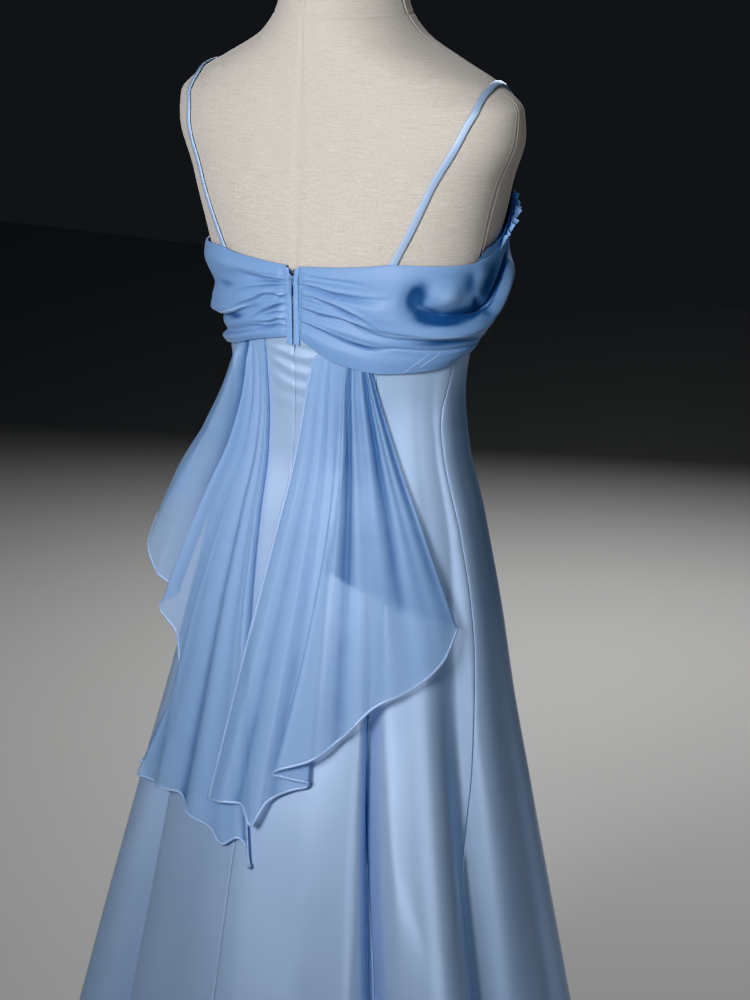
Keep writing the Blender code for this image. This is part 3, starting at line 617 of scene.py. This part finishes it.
def place_of(spot):
    """The angle, and the height in millimetres, of a point on the gown."""
    wide, back, front = rings(spot.z)[:3]
    return degrees(atan2(spot.x / wide, spot.y / (back if spot.y > 0 else front))), spot.z * 1000


def traced(lines):
    """Each line's first and last angle, and a function that reads the rest at any angle between."""
    return [(line[0][0], line[-1][0], curves(*line)) for line in lines]


def crossed(lines, angle):
    """What the traced lines say at an angle that they reach."""
    return [read(angle) for first, last, read in lines if first <= angle < last]


def mark_layers_and_painted_light(piece, depth, rounds, painted_occlusion_share=0, painted_shades=(), laps=(), more_layers_and_shade=None):
    """Note on every point how deep it lies in a fold (up to 1), drawn as painted shade, or how far out on an edge
    (down to 0), drawn as painted highlight.
    """
    bm = bmesh.new()
    bm.from_mesh(piece.data)
    around = BVHTree.FromBMesh(bm) if painted_occlusion_share else None
    before = [vert.co.copy() for vert in bm.verts]
    facing = [vert.normal * (1 if vert.normal.xy.dot(vert.co.xy) > 0 else -1) for vert in bm.verts]
    for _ in range(rounds):
        bmesh.ops.smooth_vert(bm, verts=bm.verts[:], factor=0.5,
                              use_axis_x=True, use_axis_y=True, use_axis_z=True)
    depths = [0.5 + (vert.co - spot).dot(out) / depth for vert, spot, out in zip(bm.verts, before, facing)]
    # Painted shade: points that rays find shut in by nearby cloth are drawn deeper.
    if around:
        painted_occlusion_hits = []
        for spot, out in zip(before, facing):
            side = out.cross(Vector((0, 0, 1))).normalized()
            rise = side.cross(out)
            looks = [out + side * cos(turn) * 1.2 + rise * sin(turn) * 1.2 for turn in LOOK_TURNS]
            painted_occlusion_hits.append(sum(around.ray_cast(spot + out * 0.0008, look, 0.045)[0] is not None for look in looks))
        for _ in range(6):
            painted_occlusion_hits = [(painted_occlusion_hits[vert.index] + sum(painted_occlusion_hits[edge.other_vert(vert).index] for edge in vert.link_edges))
                    / (1 + len(vert.link_edges)) for vert in bm.verts]
        depths = [value + painted_occlusion_share * hits / len(LOOK_TURNS) for value, hits in zip(depths, painted_occlusion_hits)]
    laps = traced(laps)
    # Painted shade at the listed places, and a painted highlight as a pale line along each lapped edge.
    for i, spot in enumerate(before if painted_shades or laps else ()):
        angle, height = place_of(spot)
        for middle, level, half, tall, share in painted_shades:
            depths[i] += share * exp(-((abs(angle) - middle) / half) ** 2 - ((height - level) / tall) ** 2)
        for level, step in crossed(laps, abs(angle)):
            depths[i] -= 0.24 * abs(step) * bell((height - level - copysign(0.4, step)) / 0.7)
    if more_layers_and_shade:
        depths = [value + more_layers_and_shade(i, spot) for i, (value, spot) in enumerate(zip(depths, before))]
    note = piece.data.attributes.new("layers_and_painted_light", "FLOAT", "POINT")
    for i, value in enumerate(depths):
        note.data[i].value = min(max(value, 0), 1)
    bm.free()


def strip_surface(hand):
    """From the slot outwards and down one side of the zip."""
    top = top_edge(0)[0] - 0.001

    def surface(u, v):
        height = top - (top - STRIP_FOOT) * v
        near = max(zip_opening(height), ZIP_SLOT / 2) + STRIP_WIDTH * u
        pinch = 0.0004 * noise.noise(Vector((u * 2, v * STRIP_CRIMPS, hand * 2)))
        dome = 0.0009 * (1 - (2 * u - 1) ** 4)
        stitched = -0.0004 * bell((u - 0.62) / 0.07) * (0.6 + 0.4 * sin(v * 2 * pi * STRIP_STITCHES))
        lift = SATIN_WALL + CLEARANCE + STRIP_LIFT + pinch + dome + stitched
        return gown_point(hand * degrees_of(near, 0, height), height, lift)
    return surface


for side, hand in SIDES:
    strip = sheet_mesh("shirred_strip_" + side, 18, 220, strip_surface(hand), ribbon, turned=hand > 0)
    # Painted shade in the strip's puckers and painted highlight on their crests.
    mark_layers_and_painted_light(strip, 0.003, 12)
    thicken(strip, CHIFFON_CLOTH)
    wear(strip, "cornflower_chiffon", "chiffon_strip_" + side)

# Drape: a wide length of chiffon, gathered hard beside the zip, folded round under each arm and up
# over the cups. On the right it falls open as a cowl, on the left in four lobes.
STATIONS = (3.6, 20, 42, 66, 92, 118, 148, 179.8)
DRAPE_START, DRAPE_TUCK, DRAPE_CLOTH = 2.1, 2.2, 0.0005
DRAPE_RIGHT = (
    # a fold's heights in millimetres at the stations, then its lifts there
    ((1246, 1248, 1249, 1234, 1234, 1284, 1318, 1276), (4, 4.4, 6.5, 8, 5.5, 4.5, 4.5, 5.2)),  # wall
    ((1238, 1232, 1230, 1216, 1213, 1259, 1298, 1266), (2.6, 3.6, 8.4, 3, 2.8, 3.2, 4, 3)),  # hollow
    ((1232, 1226, 1220, 1212, 1217, 1261, 1283, 1256), (4.4, 7, 11, 8.4, 7.5, 6.5, 6, 5.7)),  # rim_in
    ((1225, 1219, 1212, 1208, 1218, 1260, 1268, 1246), (2.8, 6.5, 12.5, 14.5, 11.5, 9, 7.5, 3)),  # rim
    ((1219, 1213, 1204, 1200, 1206, 1246, 1252, 1236), (4.8, 8, 12.5, 17.5, 20.5, 18.5, 9, 6.2)),  # belly
    ((1213, 1207, 1196, 1192, 1191, 1220, 1237, 1226), (3, 5, 8.5, 11, 13.5, 14.5, 6, 3.6)),  # groove_b
    ((1206, 1199, 1188, 1185, 1185, 1204, 1221, 1215), (5, 8, 10, 11, 13, 13, 9, 6.7)),  # crest_d
    ((1200, 1190, 1181, 1177, 1179, 1192, 1207, 1204), (3.2, 5, 7.4, 8.5, 9.5, 8.5, 5.6, 4.4)),  # groove_d
    ((1192, 1179, 1169, 1168, 1174, 1181, 1193, 1194), (5, 8, 9, 9, 9, 7.5, 7.5, 7)),  # roll
    ((1184, 1165, 1156, 1158, 1168, 1173, 1180, 1184), (3.6, 5.4, 7.2, 6.6, 6, 5, 5, 5)),  # lower
)
DRAPE_LEFT = (
    ((1248, 1250, 1249, 1246, 1244, 1278, 1318, 1276), (4, 5.5, 7, 6.5, 7.5, 7, 4.5, 5.2)),  # lobe_a
    ((1241, 1240, 1228, 1223, 1222, 1260, 1298, 1266), (2.6, 3.6, 4, 1.8, 2, 3.4, 4, 3)),  # hollow_a
    ((1235, 1230, 1217, 1211, 1210, 1244, 1283, 1256), (4.2, 6.5, 8.5, 8, 9.5, 10, 7, 5.7)),  # bank
    ((1230, 1221, 1204, 1199, 1197, 1229, 1268, 1246), (3.8, 8, 12, 13.5, 15, 15, 8, 3)),  # lobe_b
    ((1225, 1214, 1198, 1194.5, 1193, 1216, 1252, 1236), (2.8, 6.5, 9, 7, 9, 12, 9, 6.2)),  # tuck_b
    ((1219, 1208, 1195, 1191.5, 1190, 1207, 1237, 1226), (3.6, 4.4, 4.2, 2, 2.4, 4.6, 5, 3.6)),  # hollow_b
    ((1208, 1198, 1187, 1183, 1181, 1194, 1221, 1215), (5, 8, 7.5, 4.2, 5, 8, 9, 6.7)),  # lobe_c
    ((1198, 1190, 1179, 1173, 1171.5, 1183, 1207, 1204), (3, 4.4, 4, 1.8, 2.2, 4.4, 5, 4.4)),  # hollow_c
    ((1191, 1184, 1173, 1167, 1165, 1175, 1193, 1194), (4.6, 7.5, 9, 8, 8.5, 8, 7.5, 7)),  # roll
    ((1185, 1178, 1166, 1160.5, 1158.5, 1168, 1180, 1184), (3.4, 4.8, 5, 4.6, 4.6, 4.8, 5, 5)),  # lower
)
CREASES_RIGHT = (
    # a crease's places: angle, height in mm, depth in mm, half width in mm
    ((2.5, 1239, 1.6, 1.3), (10, 1236.5, 2.4, 1.5), (18, 1233, 2, 1.7), (30, 1231, 1.3, 2), (41, 1232, 0, 2.2)),
    ((7, 1229, 0, 1.2), (12, 1225.5, 1.9, 1.5), (21, 1219, 2.6, 1.7), (29, 1212, 1.8, 2), (38, 1202, 0, 2.4)),
    ((5, 1215, 0, 1.2), (12, 1211.5, 2.2, 1.4), (20, 1210, 1.8, 1.4), (26, 1206.5, 2.6, 1.6), (36, 1198, 1, 1.8),
     (46, 1194, 0, 2)),
    ((4, 1202, 0, 1.2), (10, 1198.5, 1.6, 1.3), (17, 1193, 1.8, 1.4), (24, 1188, 2.2, 1.4), (31, 1184, 2.8, 1.6),
     (37, 1181.5, 2.2, 1.5), (46, 1181, 0, 1.5)),
    ((84, 1231, 0, 3), (88, 1224, 1.6, 4), (94, 1217, 1.2, 4), (104, 1212, 0, 4)),
    ((2.5, 1250, 0, 1.2), (8, 1248, 1, 1.4), (22, 1246, 0.7, 1.8), (34, 1243, 0, 2)),
)
CREASES_LEFT = (
    ((2.5, 1241, 1.8, 1.4), (8, 1240.5, 2.2, 1.8), (16, 1241, 1.6, 2.4), (26, 1243, 0, 3)),
    ((2.5, 1237, 1.6, 1.1), (8, 1235, 1.8, 1.3), (14, 1232, 1.6, 1.5), (23, 1227, 1.3, 1.8), (37, 1216, 0, 2)),
    ((2.5, 1227, 1.4, 1.2), (5, 1224, 2, 1.4), (8, 1226, 1.6, 1.4), (12, 1225, 1.8, 1.5), (18, 1218, 2, 1.6),
     (26, 1211, 1, 1.8), (32, 1206, 0, 1.8)),
    ((2.5, 1218, 1.2, 1.1), (6, 1216, 1.6, 1.3), (10, 1212, 1.8, 1.4), (17, 1205, 1.6, 1.5), (28, 1194, 0, 1.6)),
    ((2.5, 1209, 1.2, 1.1), (6, 1209, 1.4, 1.2), (11, 1206, 1.4, 1.3), (18, 1200, 0, 1.4)),
    ((2.5, 1202, 1.4, 1.1), (6, 1202, 1.6, 1.3), (11, 1198, 1.6, 1.3), (20, 1194.5, 0, 1.6)),
    ((2.5, 1194, 1.2, 1.1), (6, 1196, 1.2, 1.2), (12, 1193, 1.6, 1.4), (22, 1190, 0, 1.6)),
)
LAPS_RIGHT = (
    # a lapped edge's places: angle, height in mm, how far the upper layer, or below zero the lower, stands out
    ((31, 1200.5, 0), (38, 1196.8, 1.4), (44, 1195, 2.2), (56, 1193.5, 2.4), (68, 1192.5, 2.4), (86, 1191, 2.2),
     (110, 1190, 0)),
    ((34, 1183, 0), (42, 1182, -1.2), (50, 1181, -1.8), (61, 1178.5, -2), (74, 1177, -2), (87, 1178, -1.6),
     (112, 1180, 0)),
)
LAPS_LEFT = (
    ((18, 1212, 0), (24, 1209, 1.4), (32, 1202, 2.2), (44, 1195.5, 2.4), (90, 1190.5, 2), (118, 1215, 0)),
)
SWELLS_RIGHT = (
    # a soft bulge or dimple: angle and height of its middle, half width in degrees, half height and rise in mm
    (51, 1232, 5.8, 15, -7), (58, 1215, 6.5, 8, -5), (66, 1237, 7.5, 12, 4), (79, 1243, 6, 13, -1.6),
    (88, 1252, 5, 9, 2), (32, 1222, 9, 10, 1.6),
)
PAINTED_SHADES_RIGHT = (
    # painted shade, where the chiffon is drawn deeper: angle and height of the middle, half width, half height, share
    (51, 1247, 6, 9, 0.16), (51.5, 1228, 6.6, 15, 0.36), (61, 1212, 8, 7, 0.3), (74, 1213, 9, 9, 0.36),
    (86, 1217, 8, 11, 0.32), (56, 1217, 4.5, 5, 0.22), (96, 1237, 6, 14, 0.46),
    (101, 1254, 6, 12, 0.24), (79, 1244, 6, 13, 0.24), (87, 1229, 5, 9, 0.22), (94, 1241, 5, 12, 0.14),
    (90, 1250, 9, 14, 0.12), (68, 1186.5, 20, 5, 0.44), (90, 1185, 12, 4.2, 0.18),
    (72, 1168, 12, 8, 0.14), (66, 1205, 11, 5, 0.23), (66, 1236, 8, 10, 0.1), (68, 1254, 13, 7, 0.17),
)
SWELLS_LEFT = ((30, 1251, 8, 7, 1.6), (16, 1216, 5, 5, 1))
# Painted shade on the left drape, in the same columns.
PAINTED_SHADES_LEFT = ((36, 1228, 9, 4, 0.25), (34, 1196, 9, 4, 0.25))
GATHERS = (
    # share down the drape beside the zip, its drift by the side seam, half width, rise in mm, reach in degrees
    (0.03, -0.02, 0.012, 0.8, 14), (0.08, 0.01, 0.01, 0.9, 11), (0.14, 0.03, 0.012, 0.9, 15),
    (0.2, 0.02, 0.01, 0.8, 10), (0.26, 0.05, 0.012, 0.9, 13), (0.33, 0.06, 0.012, 0.8, 11),
    (0.4, 0.02, 0.01, 0.9, 14), (0.47, 0.05, 0.012, 0.8, 12), (0.54, -0.02, 0.01, 0.8, 9),
    (0.6, 0.03, 0.012, 0.9, 13), (0.67, 0, 0.01, 0.8, 10), (0.74, 0.04, 0.012, 0.9, 14),
    (0.81, -0.02, 0.01, 0.8, 10), (0.88, 0.02, 0.012, 0.8, 11), (0.95, 0.01, 0.01, 0.7, 9),
)


def drape_surface(folds, creases, laps, swells, hand):
    """Across runs from the zip to the centre front, down runs over the top edge and the folds in order."""
    rows = [curves(*zip(STATIONS, heights, lifts)) for heights, lifts in folds]
    creases, laps = traced(creases), traced(laps)

    @cache
    def section(angle):
        top = top_edge(angle)[0] * 1000
        wrapped = ((-0.35, top - 3.2, -0.9), (-0.2, top - 0.3, -0.5), (-0.08, top + 0.5, 0.6), (0.08, top - 0.6, 1.7))
        down = curves(*wrapped, *((i + 1, *row(angle)) for i, row in enumerate(rows)))
        soft = [(level, tall, rise * bell((angle - middle) / half))
                for middle, level, half, tall, rise in swells if abs(angle - middle) < 3 * half]
        return down, crossed(creases, angle), crossed(laps, angle), soft

    def surface(u, v):
        u = u - 0.45 * sin(2 * pi * u) / (2 * pi)
        angle = DRAPE_START + (STATIONS[-1] - DRAPE_START) * u
        down, sharp, lapped, soft = section(angle)
        height, lift = down(v * (len(rows) + 0.35) - 0.35)
        near = min(angle, 180 - angle)
        edge = min(1, max(0, 12 * (v - 0.05)), 8 * (1 - v))
        for level, depth, half in sharp:
            off = (height - level) / half
            if abs(off) < 5:
                lift += edge * depth * (0.5 * bell((off - 1.9) / 1.3) - bell(off))
        for level, tall, rise in soft:
            off = (height - level) / tall
            if abs(off) < 3:
                lift += rise * bell(off)
        for level, step in lapped:
            over = copysign(height - level, (height - level) * step)
            if over > -3:
                lift += edge * abs(step) * exp(-max(over, 0) / 8) / (1 + exp(-over / 0.3))
        for start, drift, half, rise, reach in GATHERS:
            middle = start + drift * min(near, 60) / 60
            off = (v - middle) / half
            if abs(off) < 3:
                lift += rise * edge * exp(-off * off - near / reach)
        if v > 0.08:
            lift = max(lift, 1.5)
        tucked = min(max((angle - DRAPE_START) / 2.6, 0), 1) ** 2
        lift = min(lift, DRAPE_TUCK) * (1 - tucked) + lift * tucked
        return gown_point(hand * angle, height * 0.001, (lift + 0.9) * 0.001)

    return surface


DRAPES = (
    ("left", 1, DRAPE_LEFT, CREASES_LEFT, LAPS_LEFT, SWELLS_LEFT, PAINTED_SHADES_LEFT),
    ("right", -1, DRAPE_RIGHT, CREASES_RIGHT, LAPS_RIGHT, SWELLS_RIGHT, PAINTED_SHADES_RIGHT),
)
for side, hand, folds, creases, laps, swells, painted_shades in DRAPES:
    surface = drape_surface(folds, creases, laps, swells, hand)
    drape = sheet_mesh("drape_" + side, 170, 200, surface, chiffon, turned=hand > 0)
    # The drape's colour note: painted shade in folds, shut-in hollows and the listed places, painted highlight on
    # edges and lapped edges.
    mark_layers_and_painted_light(drape, 0.005, 30, 0.4, painted_shades, laps)
    thicken(drape, DRAPE_CLOTH)
    wear(drape, "cornflower_chiffon", "chiffon_drape_" + side)

INNER_EDGES = (
    # the rolled edges of the drape's inner layer that show on the right's lowest fold: angles and heights
    ((-53, 1.1575), (-56, 1.164), (-60, 1.1705), (-63.6, 1.1765)),
    ((-60.4, 1.1625), (-63, 1.167), (-66.5, 1.172), (-69.4, 1.176)),
)
right_drape = BVHTree.FromPolygons([vert.co for vert in drape.data.vertices],
                                   [face.vertices for face in drape.data.polygons])
inner_edges = []
for i, path in enumerate(INNER_EDGES, 1):
    spots = [right_drape.ray_cast(gown_point(*place, 0.06), -outward(*place))[0] + outward(*place) * 0.0001
             for place in path]
    # These edges carry no colour note, so they take the chiffon's palest colour: a painted highlight along them.
    inner_edges.append(strand(f"drape_inner_edge_{i}", spots, 0.0004, chiffon))
    wear(inner_edges[-1], "cornflower_chiffon")

# Tails: two flared single lengths of chiffon, caught under the drape's lower edge and falling in
# flutes to slanting, lapping hems. Their edges are rolled by hand and stitched, and shine.
TAIL_TOP, TAIL_FREE = 1.18, 1.172
tail_left_hem = curves(
    # share, angle and lift at the top, then angle, height and lift at the hem, and how late it spreads
    (0, 37.5, 2.4, 76, 0.985, 36, 0.9), (0.05, 35.5, 2.4, 72, 0.965, 54, 0.9),
    (0.1, 33, 2.4, 65, 0.932, 58, 0.95), (0.15, 30.8, 2.4, 59.5, 0.905, 40, 1),
    (0.19, 28.8, 2.4, 56, 0.893, 15, 1.05), (0.26, 27.8, 2.4, 53, 0.874, 29, 1.1),
    (0.32, 27, 2.4, 48, 0.85, 9, 1.15), (0.38, 26.2, 2.4, 42, 0.792, 5, 1.2),
    (0.44, 25.4, 2.4, 43, 0.738, 9, 1.3), (0.5, 24.6, 2.4, 48, 0.714, 16, 1.3),
    (0.56, 23.8, 2.4, 46, 0.702, 21, 1.3), (0.63, 22.8, 2.4, 36, 0.703, 16, 1.3),
    (0.71, 21.6, 2.4, 25, 0.71, 8, 1.3), (0.78, 20.4, 2.4, 18, 0.697, 11, 1.3),
    (0.86, 18.8, 2.4, 9, 0.692, 6, 1.3), (0.91, 18, 2.4, 3, 0.68, 8, 1.35),
    (0.95, 17.2, 2.4, -2, 0.69, 6, 1.35), (1, 16, 2.4, -7, 0.664, 6, 1.35),
)
tail_right_hem = curves(
    # the same columns; the far end turns under and comes back behind, nearer the satin
    (0, -12.6, 2.4, 9.5, 0.72, 13, 0.5), (0.07, -14, 2.4, 4, 0.722, 18, 0.55),
    (0.13, -15.5, 2.4, -2, 0.724, 13, 0.6), (0.18, -16.5, 2.4, -7, 0.706, 16, 0.7),
    (0.23, -17.5, 2.4, -11, 0.733, 12, 0.8), (0.3, -19, 2.4, -17, 0.745, 9, 1),
    (0.35, -20, 2.4, -21.5, 0.75, 10, 1.3), (0.39, -20.8, 2.4, -22, 0.754, 14, 1.8),
    (0.44, -21.8, 2.4, -16.5, 0.757, 19, 1.8), (0.48, -22.8, 2.4, -12.5, 0.76, 24, 1.8),
    (0.52, -23.8, 2.4, -14.5, 0.765, 29, 1.8), (0.57, -25.2, 2.5, -23, 0.777, 24, 1.4),
    (0.63, -27.4, 2.8, -31, 0.8, 18, 1), (0.7, -29.6, 3.8, -41, 0.832, 22, 0.85),
    (0.77, -32.2, 4.2, -52, 0.85, 16, 0.75), (0.83, -33, 4.3, -62, 0.872, 16, 0.8),
    (0.87, -33.6, 4.2, -68.5, 0.897, 14, 0.82), (0.885, -33.8, 3.8, -69.8, 0.902, 10, 0.82),
    (0.9, -33.6, 2.9, -68, 0.904, 5, 0.82), (0.94, -32.6, 2.7, -52, 0.918, 3.4, 0.82),
    (1, -30, 2.7, -20, 0.96, 3, 0.8),
)
TAIL_COLUMNS, TAIL_ROWS, TAIL_CROWDING = 260, 90, 1.3
HEM_ROLL_WIDTH, HEM_ROLL_HEIGHT = 0.003, 0.0007
PLEATS_LEFT = (
    # share along the hem of a pleat's fold, its half width and its depth in mm at the top, then at the hem
    (0.2, 0.06, 4.6, 0.02, 3.2), (0.52, 0.05, 0.3, 0.05, 2.4), (0.74, 0.04, 0.3, 0.04, 2.4),
    (0.97, 0.016, 3, 0.016, 2),
)
PLEATS_RIGHT = (
    (0.12, 0.022, 0.6, 0.022, 1.6), (0.24, 0.026, 0.8, 0.026, 2), (0.62, 0.024, 4, 0.024, 1.8),
    (0.77, 0.02, 4, 0.02, 0.2), (0.86, 0.012, 2.4, 0.012, 0.2),
)


def tail_surface(hem, pleats, lapped, lift_power):
    """Each thread falls straight to the drape's lower edge, then spreads and lifts on its way to the hem."""
    def surface(u, v):
        top_angle, top_lift, hem_angle, hem_height, hem_lift, lateness = hem(u)
        height = TAIL_TOP + (hem_height - TAIL_TOP) * v ** TAIL_CROWDING
        free = max(0, (TAIL_FREE - height) / (TAIL_FREE - hem_height))
        angle = top_angle + (hem_angle - top_angle) * free ** lateness
        lift = top_lift + (hem_lift - top_lift) * free ** lift_power
        start = min(1, free / 0.06)
        for middle, half_above, above, half_below, below in pleats:
            off = (u - middle) / (half_above + (half_below - half_above) * free)
            if abs(off) < 4:
                depth = (above + (below - above) * free) * start
                lift += depth * (0.8 * bell((abs(off) - 1.7) / 0.9) - bell(off))
        over = min(max((u - lapped) / 0.06, 0), 1) if u < 0.89 else 0
        return gown_point(angle, height, (max(lift, 1.6 + 2.6 * over) + 0.5) * 0.001)
    return surface


def rolled_hem(name, surface, first, last):
    """A narrow flattened roll inside a tail's edge, up its first and last side as far as the two shares say."""
    steps = 130
    path = [(0, i / steps) for i in range(int(first * steps), steps)]
    path += [(i / (3 * steps), 1) for i in range(3 * steps)]
    path += [(1, 1 - i / steps) for i in range(int((1 - last) * steps) + 1)]
    spots = [surface(u, v) for u, v in path]
    inner = [surface(min(max(u, 0.012), 0.988), min(v, 0.988)) for u, v in path]

    def roll(u, v):
        i = round(v * (len(path) - 1))
        onward = (spots[min(i + 1, len(path) - 1)] - spots[max(i - 1, 0)]).normalized()
        inward = inner[i] - spots[i]
        inward = (inward - onward * inward.dot(onward)).normalized()
        out = onward.cross(inward).normalized()
        turn = 2 * pi * u
        beat = 1 + 0.14 * sin(i * 0.9 + 2 * sin(i * 0.11))
        return (spots[i] + inward * HEM_ROLL_WIDTH * (0.5 + 0.5 * cos(turn))
                + out * HEM_ROLL_HEIGHT * beat * sin(turn))

    return sheet_mesh(name, 8, len(path) - 1, roll, rolled, closed=True)


rolled = finish("rolled_chiffon_edge", "#A3BFE8", Roughness=0.34, Sheen_Weight=0.15, Metallic=0.1)
stitches = node(rolled, "TexNoise",
                {"Vector": node(rolled, "TexCoord").outputs["Object"], "Scale": 420, "Detail": 2})
feed(rolled, "Normal", node(rolled, "Bump", {"Height": stitches, "Strength": 0.35, "Distance": 0.0004}))
turned_hem = curves(
    # where the right tail's turned-under hem shows through it: angle and height in mm
    (-71, 895), (-58, 915), (-45, 933), (-30, 949), (-20, 960), (-14, 972))


def tail_layers_and_shade(side, pleats):
    """How much deeper a tail's colour is drawn: painted shade in its pleats' folds, where the chiffon also lies
    double; deeper where the right one lies double; and deeper towards the top of the left one's outer edge.
    """
    def more_layers_and_shade(i, spot):
        u, v = i % (TAIL_COLUMNS + 1) / TAIL_COLUMNS, 1 - i // (TAIL_COLUMNS + 1) / TAIL_ROWS
        deep_and_shaded = sum(0.12 * (above + (below - above) * v)
                   * bell((u - middle) / (0.8 * (half_above + (half_below - half_above) * v)))
                   for middle, half_above, above, half_below, below in pleats)
        angle, height = place_of(spot)
        if side == "right" and -71 < angle < -14:
            over = height - turned_hem(angle)[0]
            deep_and_shaded += 0.16 / (1 + exp(-over / 2)) * min(1, (-14 - angle) / 8)
        elif side == "left":
            deep_and_shaded += 0.24 * (1 - v) * exp(-(u / 0.22) ** 4)
        return deep_and_shaded
    return more_layers_and_shade


TAILS = (
    # side, hem, pleats, where the tail starts to lie over its own end, how late it lifts, how far the hem's
    # roll shows up its sides, flat width and length, flat area
    ("left", tail_left_hem, PLEATS_LEFT, 1, 0.85, 0.72, 0.8, (0.42, 0.53), 0.084),
    ("right", tail_right_hem, PLEATS_RIGHT, 0.54, 0.95, 0.1, 0.3, (0.48, 0.48), 0.1),
)
for side, hem, pleats, lapped, lift_power, first, last, cut, area in TAILS:
    surface = tail_surface(hem, pleats, lapped, lift_power)
    tail = sheet_mesh("tail_" + side, TAIL_COLUMNS, TAIL_ROWS, surface, sheer)
    # The tail's colour note: painted shade in its folds and pleats, painted highlight on its edges.
    mark_layers_and_painted_light(tail, 0.008, 30, more_layers_and_shade=tail_layers_and_shade(side, pleats))
    wear(tail, "cornflower_chiffon", "chiffon_tail_" + side)
    edge = rolled_hem("tail_hem_" + side, surface, first, last)
    wear(edge, "cornflower_chiffon")

# Ruffles: a gathered frill of chiffon standing up from the top edge beside each cup, with a smooth
# upright band of the same chiffon inside it that runs on round the armhole.
RUFFLE_FROM, RUFFLE_TO = 101, 126
RUFFLE_WAVES, RUFFLE_FOOT, RUFFLE_HEIGHT, RUFFLE_SWING, RUFFLE_LIFT = 8, -0.004, 0.014, 0.0027, 0.0048
BAND_FROM, BAND_TO, BAND_HEIGHT = 84, 141, 0.011


def ruffle_surface(hand):
    """Along the top edge and down to the frill's foot, its waves uneven in width, depth and height."""
    def surface(u, v):
        angle = RUFFLE_FROM + (RUFFLE_TO - RUFFLE_FROM) * u
        uneven = 2 * pi * RUFFLE_WAVES * (u + 0.03 * sin(11 * u + hand) + 0.008 * sin(29 * u))
        wave = (1 + sin(uneven)) * (1 - v) * (1 + 0.35 * sin(7 * u + 2 * hand))
        height = top_edge(angle)[0] + RUFFLE_FOOT + RUFFLE_HEIGHT * (1 - v) * (1 + 0.16 * cos(uneven * 0.43))
        angle += 0.5 * cos(uneven) * (1 - v)
        return gown_point(hand * angle, height, RUFFLE_LIFT + RUFFLE_SWING * wave)
    return surface


def band_surface(hand):
    """Along the top edge inside the frill; the band's height tapers away at both ends."""
    def surface(u, v):
        angle = BAND_FROM + (BAND_TO - BAND_FROM) * u
        ends = min(1, 9 * u, 9 * (1 - u))
        height = top_edge(angle)[0] - 0.0045 + (0.0045 + BAND_HEIGHT * ends) * (1 - v)
        return gown_point(hand * angle, height, 0.0016 + 0.0006 * sin(9 * u) * (1 - v))
    return surface


for side, hand in SIDES:
    frill = sheet_mesh("ruffle_frill_" + side, 220, 10, ruffle_surface(hand), ribbon, turned=hand > 0)
    # Painted shade in the frill's folds and painted highlight on their crests.
    mark_layers_and_painted_light(frill, 0.003, 8)
    thicken(frill, CHIFFON_CLOTH)
    wear(frill, "cornflower_chiffon", "chiffon_ruffle_" + side)
    band = sheet_mesh("ruffle_band_" + side, 90, 10, band_surface(hand), ribbon, turned=hand > 0)
    # Painted shade in the band's folds and painted highlight on their crests.
    mark_layers_and_painted_light(band, 0.003, 4)
    wear(band, "cornflower_chiffon")
